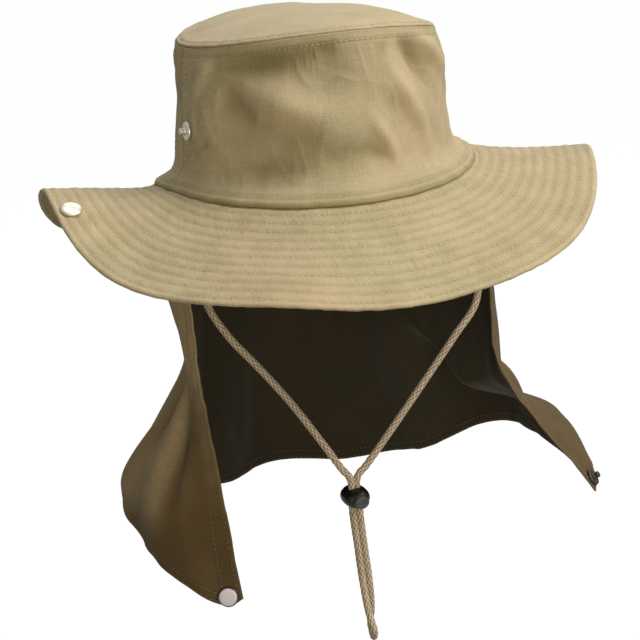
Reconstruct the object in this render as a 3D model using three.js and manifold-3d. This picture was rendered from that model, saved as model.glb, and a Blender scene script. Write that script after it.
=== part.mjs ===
// Flap sun hat: a soft crown in three panels, a wide stitched brim, a sun flap that hangs from temple
// to temple round the back, snaps, and a chin cord with its cord lock.
// Millimetres, +Z up. The origin is the middle of the head opening, level with the seam between crown
// and brim. The front of the hat faces -Y. Angles go round the head from the front, growing towards +X.

import * as THREE from 'three';
import Module from 'manifold-3d';
import { mergeVertices } from 'three/addons/utils/BufferGeometryUtils.js';

const wasm = await Module();
wasm.setup();

// Head opening and cloth
const headHalfWidth = 86;
const headHalfDepth = 102;
const crownWall = 1.4;
const brimWall = 2.4;
const flapWall = 1.3;
const seamGap = 0.3;
const seamDipBack = 15;
const seamDipFrom = 70;
const seamDipTo = 150;

// Crown
const crownHeight = 74.5;
const tipHalfWidth = 68.3;
const tipHalfDepth = 78.2;
const tipShiftRight = -0.1;
const tipShiftForward = 3.1;
const tipDropRight = 2.8;
const tipDropBack = 5.6;
const tipRise = 3.8;
const tipDome = 10.7;
const tipDomePower = 2.8;
const sideSeamAngle = 88;
const dentsFrom = 0.1;
const dentsTo = 0.86;

// Brim
const brimWidth = 67;
const brimInset = 1.2;
const brimBow = 0.95;

// Flap
const flapDrop = 230;
const flapInset = 0.8;
const flapFrontAngle = 72;
const flapWaistFrom = 0.1;
const flapWaistTo = 0.43;
const flapShoulderFull = 0.09;
const flapShoulderEnd = 0.57;
const flapDrawPower = 1.8;

// Snaps
const snapDiameter = 11.4;
const snapThickness = 1.8;
const snapSeat = 0.5;
const flapSnapSeat = 0.7;
const studBaseDiameter = 10.4;
const studBaseThickness = 1.1;
const studPostDiameter = 3.8;
const studPostHeight = 3.2;

// Chin cord and its lock
const cordDiameter = 4;
const strandGap = 0.3;
const lockCentre = new THREE.Vector3(-8.4, -50, -181.3);
const lockWidth = 15.4;
const lockHeight = 11.6;
const lockLength = 18;
const lockPower = 2.6;
const lockWall = 1.9;
const buttonDiameter = 8.2;
const buttonTravel = 2.6;
const buttonProud = 0.9;
const slideGap = 0.3;
const plungerWall = 1.2;

// How fine the cloth is
const crownColumns = 30;
const crownRows = 12;
const backColumns = 22;
const backRows = 8;
const tipColumns = 48;
const tipRows = 4;
const brimColumns = 64;
const brimRows = 6;
const flapColumns = 50;
const flapRows = 16;
const roundSteps = 18;
const cordSides = 8;
const cordSteps = 80;

// The crown wall from the seam up: the share of the height, and how far in towards the tip's outline
const wallRows = [
  { at: 0, inward: 0 },
  { at: 0.07, inward: 0.45 },
  { at: 0.14, inward: 0.62 },
  { at: 0.26, inward: 0.68 },
  { at: 0.45, inward: 0.74 },
  { at: 0.7, inward: 0.8 },
  { at: 0.88, inward: 0.88 },
  { at: 1, inward: 1 },
];

// Soft dents (negative) and swells (positive) of the crown wall: where they are, in degrees and in shares
// of the height, how wide and how tall, how far they lean, and their depth as a share of the height
const wallDents = [
  { angle: -30, up: 0.74, width: 24, tall: 0.12, lean: 0, depth: -0.05 },
  { angle: -33, up: 0.61, width: 12, tall: 0.13, lean: -100, depth: 0.03 },
  { angle: -52, up: 0.47, width: 9, tall: 0.18, lean: -20, depth: -0.04 },
  { angle: -68, up: 0.6, width: 6, tall: 0.4, lean: 0, depth: 0.03 },
  { angle: -36, up: 0.16, width: 14, tall: 0.1, lean: 0, depth: -0.025 },
  { angle: 2, up: 0.22, width: 13, tall: 0.1, lean: 0, depth: -0.03 },
  { angle: 18, up: 0.42, width: 8, tall: 0.15, lean: -75, depth: -0.025 },
  { angle: 31, up: 0.8, width: 9, tall: 0.13, lean: -60, depth: -0.04 },
  { angle: 28, up: 0.46, width: 6, tall: 0.18, lean: -42, depth: 0.035 },
  { angle: 48, up: 0.8, width: 7, tall: 0.14, lean: -60, depth: 0.03 },
  { angle: 62, up: 0.42, width: 8, tall: 0.14, lean: 0, depth: -0.045 },
  { angle: 135, up: 0.6, width: 22, tall: 0.16, lean: 0, depth: -0.035 },
  { angle: 195, up: 0.5, width: 24, tall: 0.14, lean: 0, depth: -0.04 },
  { angle: 240, up: 0.65, width: 18, tall: 0.18, lean: 0, depth: -0.03 },
];

// The brim's outer edge: the angle as a share of a turn, its height and its width as shares of brimWidth
const brimTable = [
  { at: 0, rise: -0.534, width: 1.037 },
  { at: 30 / 360, rise: -0.357, width: 1.102 },
  { at: 60 / 360, rise: 0.03, width: 0.953 },
  { at: 90 / 360, rise: -0.33, width: 0.976 },
  { at: 120 / 360, rise: -0.5, width: 1 },
  { at: 150 / 360, rise: -0.55, width: 1.02 },
  { at: 180 / 360, rise: -0.6, width: 1.03 },
  { at: 210 / 360, rise: -0.653, width: 1.015 },
  { at: 240 / 360, rise: -0.526, width: 0.98 },
  { at: 270 / 360, rise: 0.13, width: 0.987 },
  { at: 300 / 360, rise: -0.34, width: 1.102 },
  { at: 330 / 360, rise: -0.43, width: 1.064 },
];

// The flap from its left front edge round the back to its right front edge: how far the cloth stands out
// just below the seam and halfway down, how far its foot kicks out and where that starts and ends on the
// way down, how far the hem is drawn along the seam, and how low it hangs. Lengths are shares of the
// flap's drop.
const flapTable = [
  { at: 0, shoulder: 0.03, waist: 0.031, kick: 0.018, from: 0.25, to: 1.165, along: -0.138, drop: 0.953 },
  { at: 0.012, shoulder: 0.034, waist: 0.029, kick: 0.044, from: 0.31, to: 1.1, along: -0.139, drop: 0.97 },
  { at: 0.04, shoulder: 0.043, waist: 0.02, kick: 0.105, from: 0.45, to: 0.93, along: -0.139, drop: 0.926 },
  { at: 0.08, shoulder: 0.046, waist: -0.013, kick: 0.173, from: 0.43, to: 0.87, along: -0.136, drop: 0.875 },
  { at: 0.14, shoulder: 0.039, waist: -0.036, kick: 0.205, from: 0.593, to: 0.91, along: -0.129, drop: 0.817 },
  { at: 0.2, shoulder: 0.028, waist: -0.033, kick: 0.151, from: 0.54, to: 0.967, along: -0.119, drop: 0.78 },
  { at: 0.3, shoulder: 0.012, waist: -0.012, kick: 0.083, from: 0.47, to: 0.97, along: -0.094, drop: 0.86 },
  { at: 0.4, shoulder: 0.002, waist: 0.011, kick: 0.05, from: 0.3, to: 1, along: -0.051, drop: 0.971 },
  { at: 0.5, shoulder: 0, waist: 0.027, kick: 0.068, from: 0.3, to: 1, along: 0.013, drop: 1 },
  { at: 0.6, shoulder: 0, waist: 0.027, kick: 0.149, from: 0.3, to: 1.016, along: 0.065, drop: 1.03 },
  { at: 0.7, shoulder: 0, waist: 0.002, kick: 0.203, from: 0.396, to: 1.173, along: 0.048, drop: 0.996 },
  { at: 0.78, shoulder: 0, waist: 0.012, kick: 0.271, from: 0.555, to: 0.8, along: 0.028, drop: 0.916 },
  { at: 0.86, shoulder: 0, waist: 0.023, kick: 0.221, from: 0.75, to: 0.923, along: 0.033, drop: 0.874 },
  { at: 0.93, shoulder: 0.002, waist: 0.062, kick: 0.191, from: 0.68, to: 0.888, along: 0.062, drop: 0.88 },
  { at: 1, shoulder: 0.006, waist: 0.035, kick: 0.3, from: 0.522, to: 1.19, along: 0.062, drop: 0.905 },
];

// Folds of the flap: the share of the way round, the width as such a share, the shares of the way down
// where each starts, is deepest and has faded out (2 if it runs off the hem), and the depth as a share
// of the flap's drop
const flapFolds = [
  { at: 0.055, width: 0.012, from: 0.3, full: 0.6, fade: 1.0, depth: -0.026 },
  { at: 0.026, width: 0.013, from: 0.25, full: 0.55, fade: 1.3, depth: 0.016 },
  { at: 0.115, width: 0.016, from: 0.45, full: 0.75, fade: 1.3, depth: -0.018 },
  { at: 0.16, width: 0.014, from: 0.4, full: 0.8, fade: 1.4, depth: 0.014 },
  { at: 0.25, width: 0.03, from: 0.2, full: 1, fade: 2, depth: -0.03 },
  { at: 0.33, width: 0.025, from: 0.15, full: 1, fade: 2, depth: 0.028 },
  { at: 0.42, width: 0.024, from: 0.25, full: 1, fade: 2, depth: -0.022 },
  { at: 0.5, width: 0.03, from: 0.15, full: 1, fade: 2, depth: 0.024 },
  { at: 0.585, width: 0.025, from: 0.25, full: 1, fade: 2, depth: -0.024 },
  { at: 0.66, width: 0.024, from: 0.2, full: 1, fade: 2, depth: 0.022 },
  { at: 0.745, width: 0.022, from: 0.25, full: 0.9, fade: 2, depth: -0.022 },
  { at: 0.83, width: 0.02, from: 0.3, full: 0.9, fade: 1.6, depth: 0.018 },
  { at: 0.955, width: 0.016, from: 0.25, full: 0.6, fade: 1.2, depth: 0.012 },
];

// Where the snaps sit: round the head and out or up for the brim and the crown, round and down for the flap
const brimSnapPlace = { angle: -79.5, share: 0.88 };
const crownSnapPlace = { angle: -82.9, up: 0.412 };
const flapCapPlace = { round: 0.0105, down: 0.975 };
const flapStudPlace = { round: 0.99, down: 0.975 };

// The route of the chin cord, from the left of the head opening through the lock, round the hanging end
// and back through the lock to the right of the head opening
const strandOffset = (cordDiameter + strandGap) / 2;
const cordPoints = [
  [-79.8, -22.4, 0.6],
  [-79.3, -23.2, -20],
  [-78.6, -24.4, -42],
  [-75.8, -26.2, -62.5],
  [-67, -29.5, -80.5],
  [-52.7, -34, -100.4],
  [-38.6, -39, -121.2],
  [-24.6, -44.6, -145.5],
  [-14.8, -48.6, -163.5],
  [lockCentre.x - strandOffset, lockCentre.y, lockCentre.z + 11],
  [lockCentre.x - strandOffset, lockCentre.y, lockCentre.z - 9],
  [-9.4, -50.2, -212],
  [-7.9, -50.6, -236],
  [-6.6, -53.6, -254],
  [-5, -56, -264.6],
  [-3.7, -50.6, -271.2],
  [-2.8, -45, -264.6],
  [-2.5, -47.4, -254],
  [-3.4, -50.2, -236],
  [-4.9, -50, -212],
  [lockCentre.x + strandOffset, lockCentre.y, lockCentre.z - 9],
  [lockCentre.x + strandOffset, lockCentre.y, lockCentre.z + 11],
  [0.2, -49.8, -164],
  [20.4, -49, -142.5],
  [39.3, -48, -122.1],
  [60.1, -46, -100.1],
  [75, -43.6, -84.2],
  [79.6, -39.4, -62],
  [78.8, -34.6, -36],
  [78.2, -31.6, -16],
  [78, -30.3, 0.6],
];

// A smooth curve through the rows of a table; with a turn, the last row leads on to the first
function follow(rows, place, column, turn = 0) {
  const count = rows.length;
  const at = turn > 0 ? place - Math.floor(place / turn) * turn : Math.min(Math.max(place, 0), 1);
  const row = (index) => {
    if (turn === 0) {
      return rows[Math.min(Math.max(index, 0), count - 1)];
    }
    const lap = Math.floor(index / count);
    const original = rows[index - lap * count];
    return { ...original, at: original.at + lap * turn };
  };
  let below = 0;
  const last = turn > 0 ? count - 1 : count - 2;
  while (below < last && rows[below + 1].at <= at) {
    below += 1;
  }
  const [before, start, end, after] = [row(below - 1), row(below), row(below + 1), row(below + 2)];
  const span = end.at - start.at;
  const share = (at - start.at) / span;
  const slopeIn = (end[column] - before[column]) / (end.at - before.at) * span;
  const slopeOut = (after[column] - start[column]) / (after.at - start.at) * span;
  const squared = share * share;
  const cubed = squared * share;
  return (2 * cubed - 3 * squared + 1) * start[column]
    + (cubed - 2 * squared + share) * slopeIn
    + (3 * squared - 2 * cubed) * end[column]
    + (cubed - squared) * slopeOut;
}

function radians(degrees) {
  return degrees * Math.PI / 180;
}

function smoothRise(from, to, value) {
  const share = Math.min(Math.max((value - from) / (to - from), 0), 1);
  return share * share * (3 - 2 * share);
}

function bump(distance, width) {
  return Math.exp(-0.5 * (distance / width) ** 2);
}

// The seam line of the head opening: a point, the way out from it and the way along it
function headSeam(angle) {
  const turn = radians(angle);
  const fromFront = Math.abs(((angle + 540) % 360) - 180);
  const dip = seamDipBack * smoothRise(seamDipFrom, seamDipTo, fromFront);
  const point = new THREE.Vector3(headHalfWidth * Math.sin(turn), -headHalfDepth * Math.cos(turn), -dip);
  const out = new THREE.Vector3(Math.sin(turn) / headHalfWidth, -Math.cos(turn) / headHalfDepth, 0);
  out.normalize();
  const along = new THREE.Vector3(out.y, -out.x, 0);
  return { point, out, along };
}

// The brim at an angle, from its inner edge (share 0) to its outer edge (share 1)
function brimPoint(angle, share) {
  const seam = headSeam(angle);
  const turnShare = angle / 360;
  const width = brimWidth * follow(brimTable, turnShare, 'width', 1);
  const rise = brimWidth * follow(brimTable, turnShare, 'rise', 1);
  const run = Math.sqrt(width * width - rise * rise);
  const point = seam.point.addScaledVector(seam.out, run * share - brimInset * (1 - share));
  point.z += (rise - point.z) * Math.pow(Math.max(share, 0), brimBow);
  return point;
}

// The outline and the height of the crown's top edge at an angle
function tipEdge(angle) {
  const turn = radians(angle);
  const x = Math.sin(turn);
  const y = -Math.cos(turn);
  const height = crownHeight - tipDropRight * x - tipDropBack * y + tipRise * Math.cos(2 * turn);
  return new THREE.Vector3(tipShiftRight + tipHalfWidth * x, -tipShiftForward + tipHalfDepth * y, height);
}

// The crown's wall at an angle, from the seam (up 0) to the tip (up 1)
function crownPoint(angle, up) {
  const seam = headSeam(angle);
  const edge = tipEdge(angle);
  const inward = follow(wallRows, up, 'inward');
  const base = seam.point.z + brimWall / 2 + seamGap + crownWall / 2;
  const point = new THREE.Vector3().lerpVectors(seam.point, edge, inward);
  point.z = base + (edge.z - base) * up;
  let push = 0;
  for (const dent of wallDents) {
    const around = ((angle - dent.angle + 540) % 360) - 180;
    const leaned = around - dent.lean * (up - dent.up);
    push += dent.depth * bump(leaned, dent.width) * bump(up - dent.up, dent.tall);
  }
  const edgeHold = smoothRise(0, dentsFrom, up) * (1 - smoothRise(dentsTo, 1, up));
  return point.addScaledVector(seam.out, crownHeight * push * edgeHold);
}

// The tip at an angle, from its middle (share 0) to the top edge of the wall (share 1)
function tipPoint(angle, share) {
  const edge = tipEdge(angle);
  const lift = crownWall / 2 + seamGap;
  const middle = new THREE.Vector3(tipShiftRight, -tipShiftForward, 0);
  const turn = radians(angle);
  const slope = -tipDropRight * Math.sin(turn) + tipDropBack * Math.cos(turn);
  const saddle = tipRise * Math.cos(2 * turn);
  const point = new THREE.Vector3().lerpVectors(middle, edge, share);
  point.z = crownHeight + lift + slope * share + saddle * share * share;
  point.z += tipDome * (1 - Math.pow(share, tipDomePower));
  return point;
}

// The flap, round from its left front edge (0) to its right front edge (1), and down from the seam (0)
// to the hem (1)
function flapPoint(round, down) {
  const angle = -flapFrontAngle - round * (360 - 2 * flapFrontAngle);
  const seam = headSeam(angle);
  const value = (column) => follow(flapTable, round, column);
  let out = value('waist') * smoothRise(flapWaistFrom, flapWaistTo, down);
  out += value('kick') * smoothRise(value('from'), value('to'), down);
  const shoulderFade = 1 - smoothRise(flapShoulderFull, flapShoulderEnd, down);
  out += value('shoulder') * smoothRise(0, flapShoulderFull, down) * shoulderFade;
  for (const fold of flapFolds) {
    const strength = smoothRise(fold.from, fold.full, down) * (1 - smoothRise(fold.full, fold.fade, down));
    out += fold.depth * bump(round - fold.at, fold.width) * strength;
  }
  const along = value('along') * Math.pow(Math.max(down, 0), flapDrawPower);
  const top = brimWall / 2 + seamGap + flapWall;
  const point = seam.point.addScaledVector(seam.out, flapDrop * out - flapInset);
  point.addScaledVector(seam.along, flapDrop * along);
  const start = seam.point.z - top;
  point.z = start - (flapDrop * value('drop') + start) * down;
  return point;
}

// The way that a surface faces, from its neighbours on both sides
function facing(surface, first, second) {
  const step = 0.002;
  const alongFirst = surface(first + step, second).sub(surface(first - step, second));
  const alongSecond = surface(first, second + step).sub(surface(first, second - step));
  return alongFirst.cross(alongSecond).normalize();
}

function closedBody(positions, triangles) {
  const geometry = new THREE.BufferGeometry();
  geometry.setAttribute('position', new THREE.Float32BufferAttribute(positions, 3));
  geometry.setIndex(triangles);
  return geometry;
}

// A closed wall of even thickness on a surface. The surface takes two shares from 0 to 1: the first goes
// along the columns and the second along the rows, and their cross product points to the outer face.
function clothWall(surface, columns, rows, wall, round = false) {
  const positions = [];
  const triangles = [];
  const columnCount = round ? columns : columns + 1;
  for (const side of [0.5, -0.5]) {
    for (let row = 0; row <= rows; row += 1) {
      for (let column = 0; column < columnCount; column += 1) {
        const first = column / columns;
        const second = row / rows;
        const point = surface(first, second).addScaledVector(facing(surface, first, second), side * wall);
        positions.push(point.x, point.y, point.z);
      }
    }
  }
  const layer = columnCount * (rows + 1);
  const outer = (row, column) => row * columnCount + column % columnCount;
  const inner = (row, column) => layer + outer(row, column);
  const quad = (a, b, c, d) => triangles.push(a, b, c, a, c, d);
  for (let row = 0; row < rows; row += 1) {
    for (let column = 0; column < columns; column += 1) {
      const [next, below] = [column + 1, row + 1];
      quad(outer(row, column), outer(row, next), outer(below, next), outer(below, column));
      quad(inner(row, column), inner(below, column), inner(below, next), inner(row, next));
    }
  }
  for (let column = 0; column < columns; column += 1) {
    const next = column + 1;
    quad(inner(0, column), inner(0, next), outer(0, next), outer(0, column));
    quad(outer(rows, column), outer(rows, next), inner(rows, next), inner(rows, column));
  }
  if (!round) {
    for (let row = 0; row < rows; row += 1) {
      const below = row + 1;
      quad(outer(row, 0), outer(below, 0), inner(below, 0), inner(row, 0));
      quad(inner(row, columns), inner(below, columns), outer(below, columns), outer(row, columns));
    }
  }
  return closedBody(positions, triangles);
}

function named(name, geometry, colour, roughness, metalness = 0) {
  const faceted = geometry.index ? geometry.toNonIndexed() : geometry;
  faceted.computeVertexNormals();
  const material = new THREE.MeshStandardMaterial({ color: colour, roughness, metalness });
  const mesh = new THREE.Mesh(faceted, material);
  mesh.name = name;
  return mesh;
}

// Joining and cutting closed bodies
function solid(geometry) {
  const bare = geometry.clone();
  bare.deleteAttribute('normal');
  bare.deleteAttribute('uv');
  const merged = mergeVertices(bare, 1e-4);
  const vertProperties = new Float32Array(merged.attributes.position.array);
  const triVerts = new Uint32Array(merged.index.array);
  return new wasm.Manifold(new wasm.Mesh({ numProp: 3, vertProperties, triVerts }));
}

function shape(body) {
  const mesh = body.getMesh();
  return closedBody(Array.from(mesh.vertProperties), Array.from(mesh.triVerts));
}

function crownPanel(name, fromAngle, toAngle, columns, rows, colour) {
  const surface = (first, second) => crownPoint(fromAngle + (toAngle - fromAngle) * first, second);
  return named(name, clothWall(surface, columns, rows, crownWall), colour, 0.9);
}

function crownFront() {
  const gapAngle = THREE.MathUtils.radToDeg(seamGap / 2 / (tipHalfWidth - crownWall));
  const half = sideSeamAngle - gapAngle;
  return crownPanel('crown_front', -half, half, crownColumns, crownRows, 0x9d8f6b);
}

function crownBack() {
  const gapAngle = THREE.MathUtils.radToDeg(seamGap / 2 / (tipHalfWidth - crownWall));
  const from = sideSeamAngle + gapAngle;
  return crownPanel('crown_back', from, 360 - from, backColumns, backRows, 0x9d8f6b);
}

// The tip is a round sheet: a middle point and rings round it, above and below
function crownTip() {
  const surface = (first, second) => tipPoint(first * 360, second);
  const positions = [];
  const triangles = [];
  for (const side of [0.5, -0.5]) {
    const middle = surface(0, 0);
    positions.push(middle.x, middle.y, middle.z + side * crownWall);
    for (let row = 1; row <= tipRows; row += 1) {
      for (let column = 0; column < tipColumns; column += 1) {
        const [first, second] = [column / tipColumns, row / tipRows];
        const upward = facing(surface, first, second).negate();
        const point = surface(first, second).addScaledVector(upward, side * crownWall);
        positions.push(point.x, point.y, point.z);
      }
    }
  }
  const layer = 1 + tipRows * tipColumns;
  const upper = (row, column) => 1 + (row - 1) * tipColumns + column % tipColumns;
  const lower = (row, column) => layer + upper(row, column);
  const quad = (a, b, c, d) => triangles.push(a, b, c, a, c, d);
  for (let column = 0; column < tipColumns; column += 1) {
    const next = column + 1;
    triangles.push(0, upper(1, column), upper(1, next));
    triangles.push(layer, lower(1, next), lower(1, column));
    for (let row = 1; row < tipRows; row += 1) {
      const out = row + 1;
      quad(upper(row, column), upper(out, column), upper(out, next), upper(row, next));
      quad(lower(row, column), lower(row, next), lower(out, next), lower(out, column));
    }
    quad(upper(tipRows, column), lower(tipRows, column), lower(tipRows, next), upper(tipRows, next));
  }
  return named('crown_tip', closedBody(positions, triangles), 0xc0b297, 0.9);
}

function brim() {
  const surface = (first, second) => brimPoint(first * 360, 1 - second);
  return named('brim', clothWall(surface, brimColumns, brimRows, brimWall, true), 0xb5a784, 0.9);
}

function flap() {
  return named('flap', clothWall(flapPoint, flapColumns, flapRows, flapWall), 0x52442a, 0.95);
}

// A turned piece that sits on a surface: its axis is the way that the surface faces
function seated(name, profile, place, outward, seat, colour) {
  const geometry = new THREE.LatheGeometry(profile.map(([r, z]) => new THREE.Vector2(r, z)), roundSteps);
  const mesh = named(name, geometry, colour, 0.3, 1);
  mesh.quaternion.setFromUnitVectors(new THREE.Vector3(0, 1, 0), outward);
  mesh.position.copy(place).addScaledVector(outward, seat);
  return mesh;
}

function capProfile() {
  const radius = snapDiameter / 2;
  return [
    [0, 0],
    [radius * 0.9, 0],
    [radius, snapThickness * 0.35],
    [radius * 0.94, snapThickness * 0.75],
    [radius * 0.72, snapThickness],
    [0, snapThickness],
  ];
}

function studProfile() {
  const base = studBaseDiameter / 2;
  const post = studPostDiameter / 2;
  const neck = post * 0.86;
  const top = studBaseThickness + studPostHeight;
  return [
    [0, 0],
    [base, 0],
    [base, studBaseThickness * 0.6],
    [base * 0.86, studBaseThickness],
    [neck, studBaseThickness],
    [neck, top - studPostHeight * 0.5],
    [post, top - studPostHeight * 0.28],
    [post * 0.8, top],
    [0, top],
  ];
}

function brimSnap() {
  const surface = (first, second) => brimPoint(first * 360, 1 - second);
  const place = brimPoint(brimSnapPlace.angle, brimSnapPlace.share);
  const outward = facing(surface, brimSnapPlace.angle / 360, 1 - brimSnapPlace.share);
  return seated('brim_snap', capProfile(), place, outward, brimWall / 2 + snapSeat, 0xd8d4c4);
}

function crownSnap() {
  const surface = (first, second) => crownPoint(first * 360, second);
  const place = crownPoint(crownSnapPlace.angle, crownSnapPlace.up);
  const outward = facing(surface, crownSnapPlace.angle / 360, crownSnapPlace.up);
  return seated('crown_snap', studProfile(), place, outward, crownWall / 2 + snapSeat, 0xd8d4c4);
}

function flapSnap(name, profile, { round, down }) {
  const outward = facing(flapPoint, round, down);
  return seated(name, profile, flapPoint(round, down), outward, flapWall / 2 + flapSnapSeat, 0xafa4a9);
}

function chinCord() {
  const points = cordPoints.map((point) => new THREE.Vector3(...point));
  const route = new THREE.CatmullRomCurve3(points, false, 'centripetal');
  const section = new THREE.Shape();
  for (let side = 0; side < cordSides; side += 1) {
    const turn = 2 * Math.PI * side / cordSides;
    const corner = [cordDiameter / 2 * Math.cos(turn), cordDiameter / 2 * Math.sin(turn)];
    if (side === 0) {
      section.moveTo(...corner);
    } else {
      section.lineTo(...corner);
    }
  }
  section.closePath();
  const options = { steps: cordSteps, extrudePath: route, bevelEnabled: false };
  const geometry = new THREE.ExtrudeGeometry(section, options);
  return named('chin_cord', geometry, 0xb7ab92, 0.9);
}

// An upright slot for both strands of the cord, with more room at its front or back end
function strandSlot(roomFront, roomBack, height) {
  const halfWidth = strandOffset + cordDiameter / 2 + slideGap;
  const front = -cordDiameter / 2 - slideGap - roomFront;
  const back = cordDiameter / 2 + slideGap + roomBack;
  const corner = cordDiameter / 2;
  const outline = new THREE.Shape();
  outline.moveTo(-halfWidth + corner, front);
  outline.lineTo(halfWidth - corner, front);
  outline.quadraticCurveTo(halfWidth, front, halfWidth, front + corner);
  outline.lineTo(halfWidth, back - corner);
  outline.quadraticCurveTo(halfWidth, back, halfWidth - corner, back);
  outline.lineTo(-halfWidth + corner, back);
  outline.quadraticCurveTo(-halfWidth, back, -halfWidth, back - corner);
  outline.lineTo(-halfWidth, front + corner);
  outline.quadraticCurveTo(-halfWidth, front, -halfWidth + corner, front);
  const slot = new THREE.ExtrudeGeometry(outline, { depth: height, bevelEnabled: false, curveSegments: 3 });
  slot.translate(0, 0, -height / 2);
  return solid(slot);
}

// A round bar along the lock's axis with an oval section, from one place on the axis to another
function ovalBar(halfWidth, halfHeight, from, to) {
  const bar = new THREE.CylinderGeometry(1, 1, to - from, roundSteps);
  bar.scale(halfWidth, 1, halfHeight);
  bar.translate(0, (from + to) / 2, 0);
  return solid(bar);
}

// Places along the lock's axis, which points to the front (-Y) from the lock's middle
const slotReach = cordDiameter / 2 + slideGap;
const plungerBack = slotReach + plungerWall;
const plungerFront = -(slotReach + buttonTravel + plungerWall);
const chamberBack = plungerBack + buttonTravel + slideGap;
const chamberFront = plungerFront - slideGap;
const chamberHalfWidth = lockWidth / 2 - lockWall;
const chamberHalfHeight = lockHeight / 2 - lockWall;
const openingShare = (buttonDiameter / 2 + slideGap) / (lockWidth / 2);
const lockFace = -lockLength / 2 * Math.pow(1 - Math.pow(openingShare, lockPower), 1 / lockPower);
const buttonFace = lockFace - buttonTravel - buttonProud;

function lockBody() {
  const profile = [];
  const halfLength = lockLength / 2;
  const rows = 10;
  for (let row = 0; row <= rows; row += 1) {
    const turn = Math.PI * (row / rows - 0.5);
    const axial = Math.sign(Math.sin(turn)) * Math.pow(Math.abs(Math.sin(turn)), 2 / lockPower);
    const radial = Math.pow(Math.cos(turn), 2 / lockPower);
    profile.push(new THREE.Vector2(row % rows === 0 ? 0 : lockWidth / 2 * radial, halfLength * axial));
  }
  const ball = new THREE.LatheGeometry(profile, roundSteps);
  ball.scale(1, 1, lockHeight / lockWidth);
  const opening = ovalBar(buttonDiameter / 2 + slideGap, chamberHalfHeight, -lockLength, 0);
  const body = solid(ball)
    .subtract(ovalBar(chamberHalfWidth, chamberHalfHeight, chamberFront, chamberBack))
    .subtract(opening)
    .subtract(strandSlot(0, 0, 2 * lockHeight));
  return named('cord_lock_body', shape(body), 0x14160f, 0.45);
}

function lockButton() {
  const stem = ovalBar(chamberHalfWidth - slideGap, chamberHalfHeight - slideGap, plungerFront, plungerBack);
  const rootOfHead = plungerFront + plungerWall / 2;
  const head = ovalBar(buttonDiameter / 2, chamberHalfHeight - slideGap, buttonFace, rootOfHead);
  const button = stem.add(head).subtract(strandSlot(buttonTravel, 0, 2 * lockHeight));
  return named('cord_lock_button', shape(button), 0x2f332f, 0.4);
}

function cordLock() {
  const lock = new THREE.Group();
  lock.position.copy(lockCentre);
  lock.add(lockBody(), lockButton());
  return lock;
}

const hat = new THREE.Group();
hat.add(crownTip(), crownFront(), crownBack(), brim(), flap());
hat.add(brimSnap(), crownSnap());
hat.add(flapSnap('flap_snap_cap', capProfile(), flapCapPlace));
hat.add(flapSnap('flap_snap_stud', studProfile(), flapStudPlace));
hat.add(chinCord(), cordLock());

export default hat;
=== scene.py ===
# Flap sun hat: its looks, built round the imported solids. Lengths are millimetres until a mesh is made.
# The front of the hat faces -Y. Angles go round the head from the front, growing towards +X.

import math

import bpy
import numpy as np
from mathutils import Matrix

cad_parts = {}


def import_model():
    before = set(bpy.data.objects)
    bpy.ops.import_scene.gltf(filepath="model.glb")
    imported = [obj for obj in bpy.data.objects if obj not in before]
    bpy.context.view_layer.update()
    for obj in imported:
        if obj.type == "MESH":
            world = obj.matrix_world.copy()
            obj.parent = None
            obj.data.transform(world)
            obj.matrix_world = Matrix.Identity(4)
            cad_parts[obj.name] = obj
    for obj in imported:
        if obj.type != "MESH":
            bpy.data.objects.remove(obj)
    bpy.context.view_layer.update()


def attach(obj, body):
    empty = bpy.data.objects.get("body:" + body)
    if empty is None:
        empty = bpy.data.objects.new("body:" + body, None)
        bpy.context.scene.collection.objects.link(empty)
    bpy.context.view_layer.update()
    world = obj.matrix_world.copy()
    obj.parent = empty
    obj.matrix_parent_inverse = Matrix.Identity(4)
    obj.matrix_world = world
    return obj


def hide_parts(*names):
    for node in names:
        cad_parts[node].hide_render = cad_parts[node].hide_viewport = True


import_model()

MM = 0.001

# Head opening and cloth, the same as the solids'
HEAD_HALF_WIDTH = 86.0
HEAD_HALF_DEPTH = 102.0
CROWN_WALL = 1.4
BRIM_WALL = 2.4
FLAP_WALL = 1.3
SEAM_GAP = 0.3
SEAM_DIP_BACK = 15.0
SEAM_DIP_FROM = 70.0
SEAM_DIP_TO = 150.0

# Crown
CROWN_HEIGHT = 74.5
TIP_HALF_WIDTH = 68.3
TIP_HALF_DEPTH = 78.2
TIP_SHIFT_RIGHT = -0.1
TIP_SHIFT_FORWARD = 3.1
TIP_DROP_RIGHT = 2.8
TIP_DROP_BACK = 5.6
TIP_RISE = 3.8
TIP_DOME = 10.7
TIP_DOME_POWER = 2.8
SIDE_SEAM_ANGLE = 88.0
DENTS_FROM = 0.1
DENTS_TO = 0.86

# Brim
BRIM_WIDTH = 67.0
BRIM_INSET = 1.2
BRIM_BOW = 0.95

# Flap
FLAP_DROP = 230.0
FLAP_INSET = 0.8
FLAP_FRONT_ANGLE = 72.0
FLAP_WAIST_FROM = 0.1
FLAP_WAIST_TO = 0.43
FLAP_SHOULDER_FULL = 0.09
FLAP_SHOULDER_END = 0.57
FLAP_DRAW_POWER = 1.8

# Snaps, cord and lock
SNAP_SEAT = 0.5
CORD_DIAMETER = 4.0
STRAND_GAP = 0.3
LOCK_CENTRE = np.array([-8.4, -50.0, -181.3])
LOCK_WIDTH = 15.4
LOCK_HEIGHT = 11.6
LOCK_LENGTH = 18.0
LOCK_POWER = 2.6
LOCK_WALL = 1.9
BUTTON_DIAMETER = 8.2
BUTTON_TRAVEL = 2.6
BUTTON_PROUD = 0.9
SLIDE_GAP = 0.3
PLUNGER_WALL = 1.2

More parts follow.
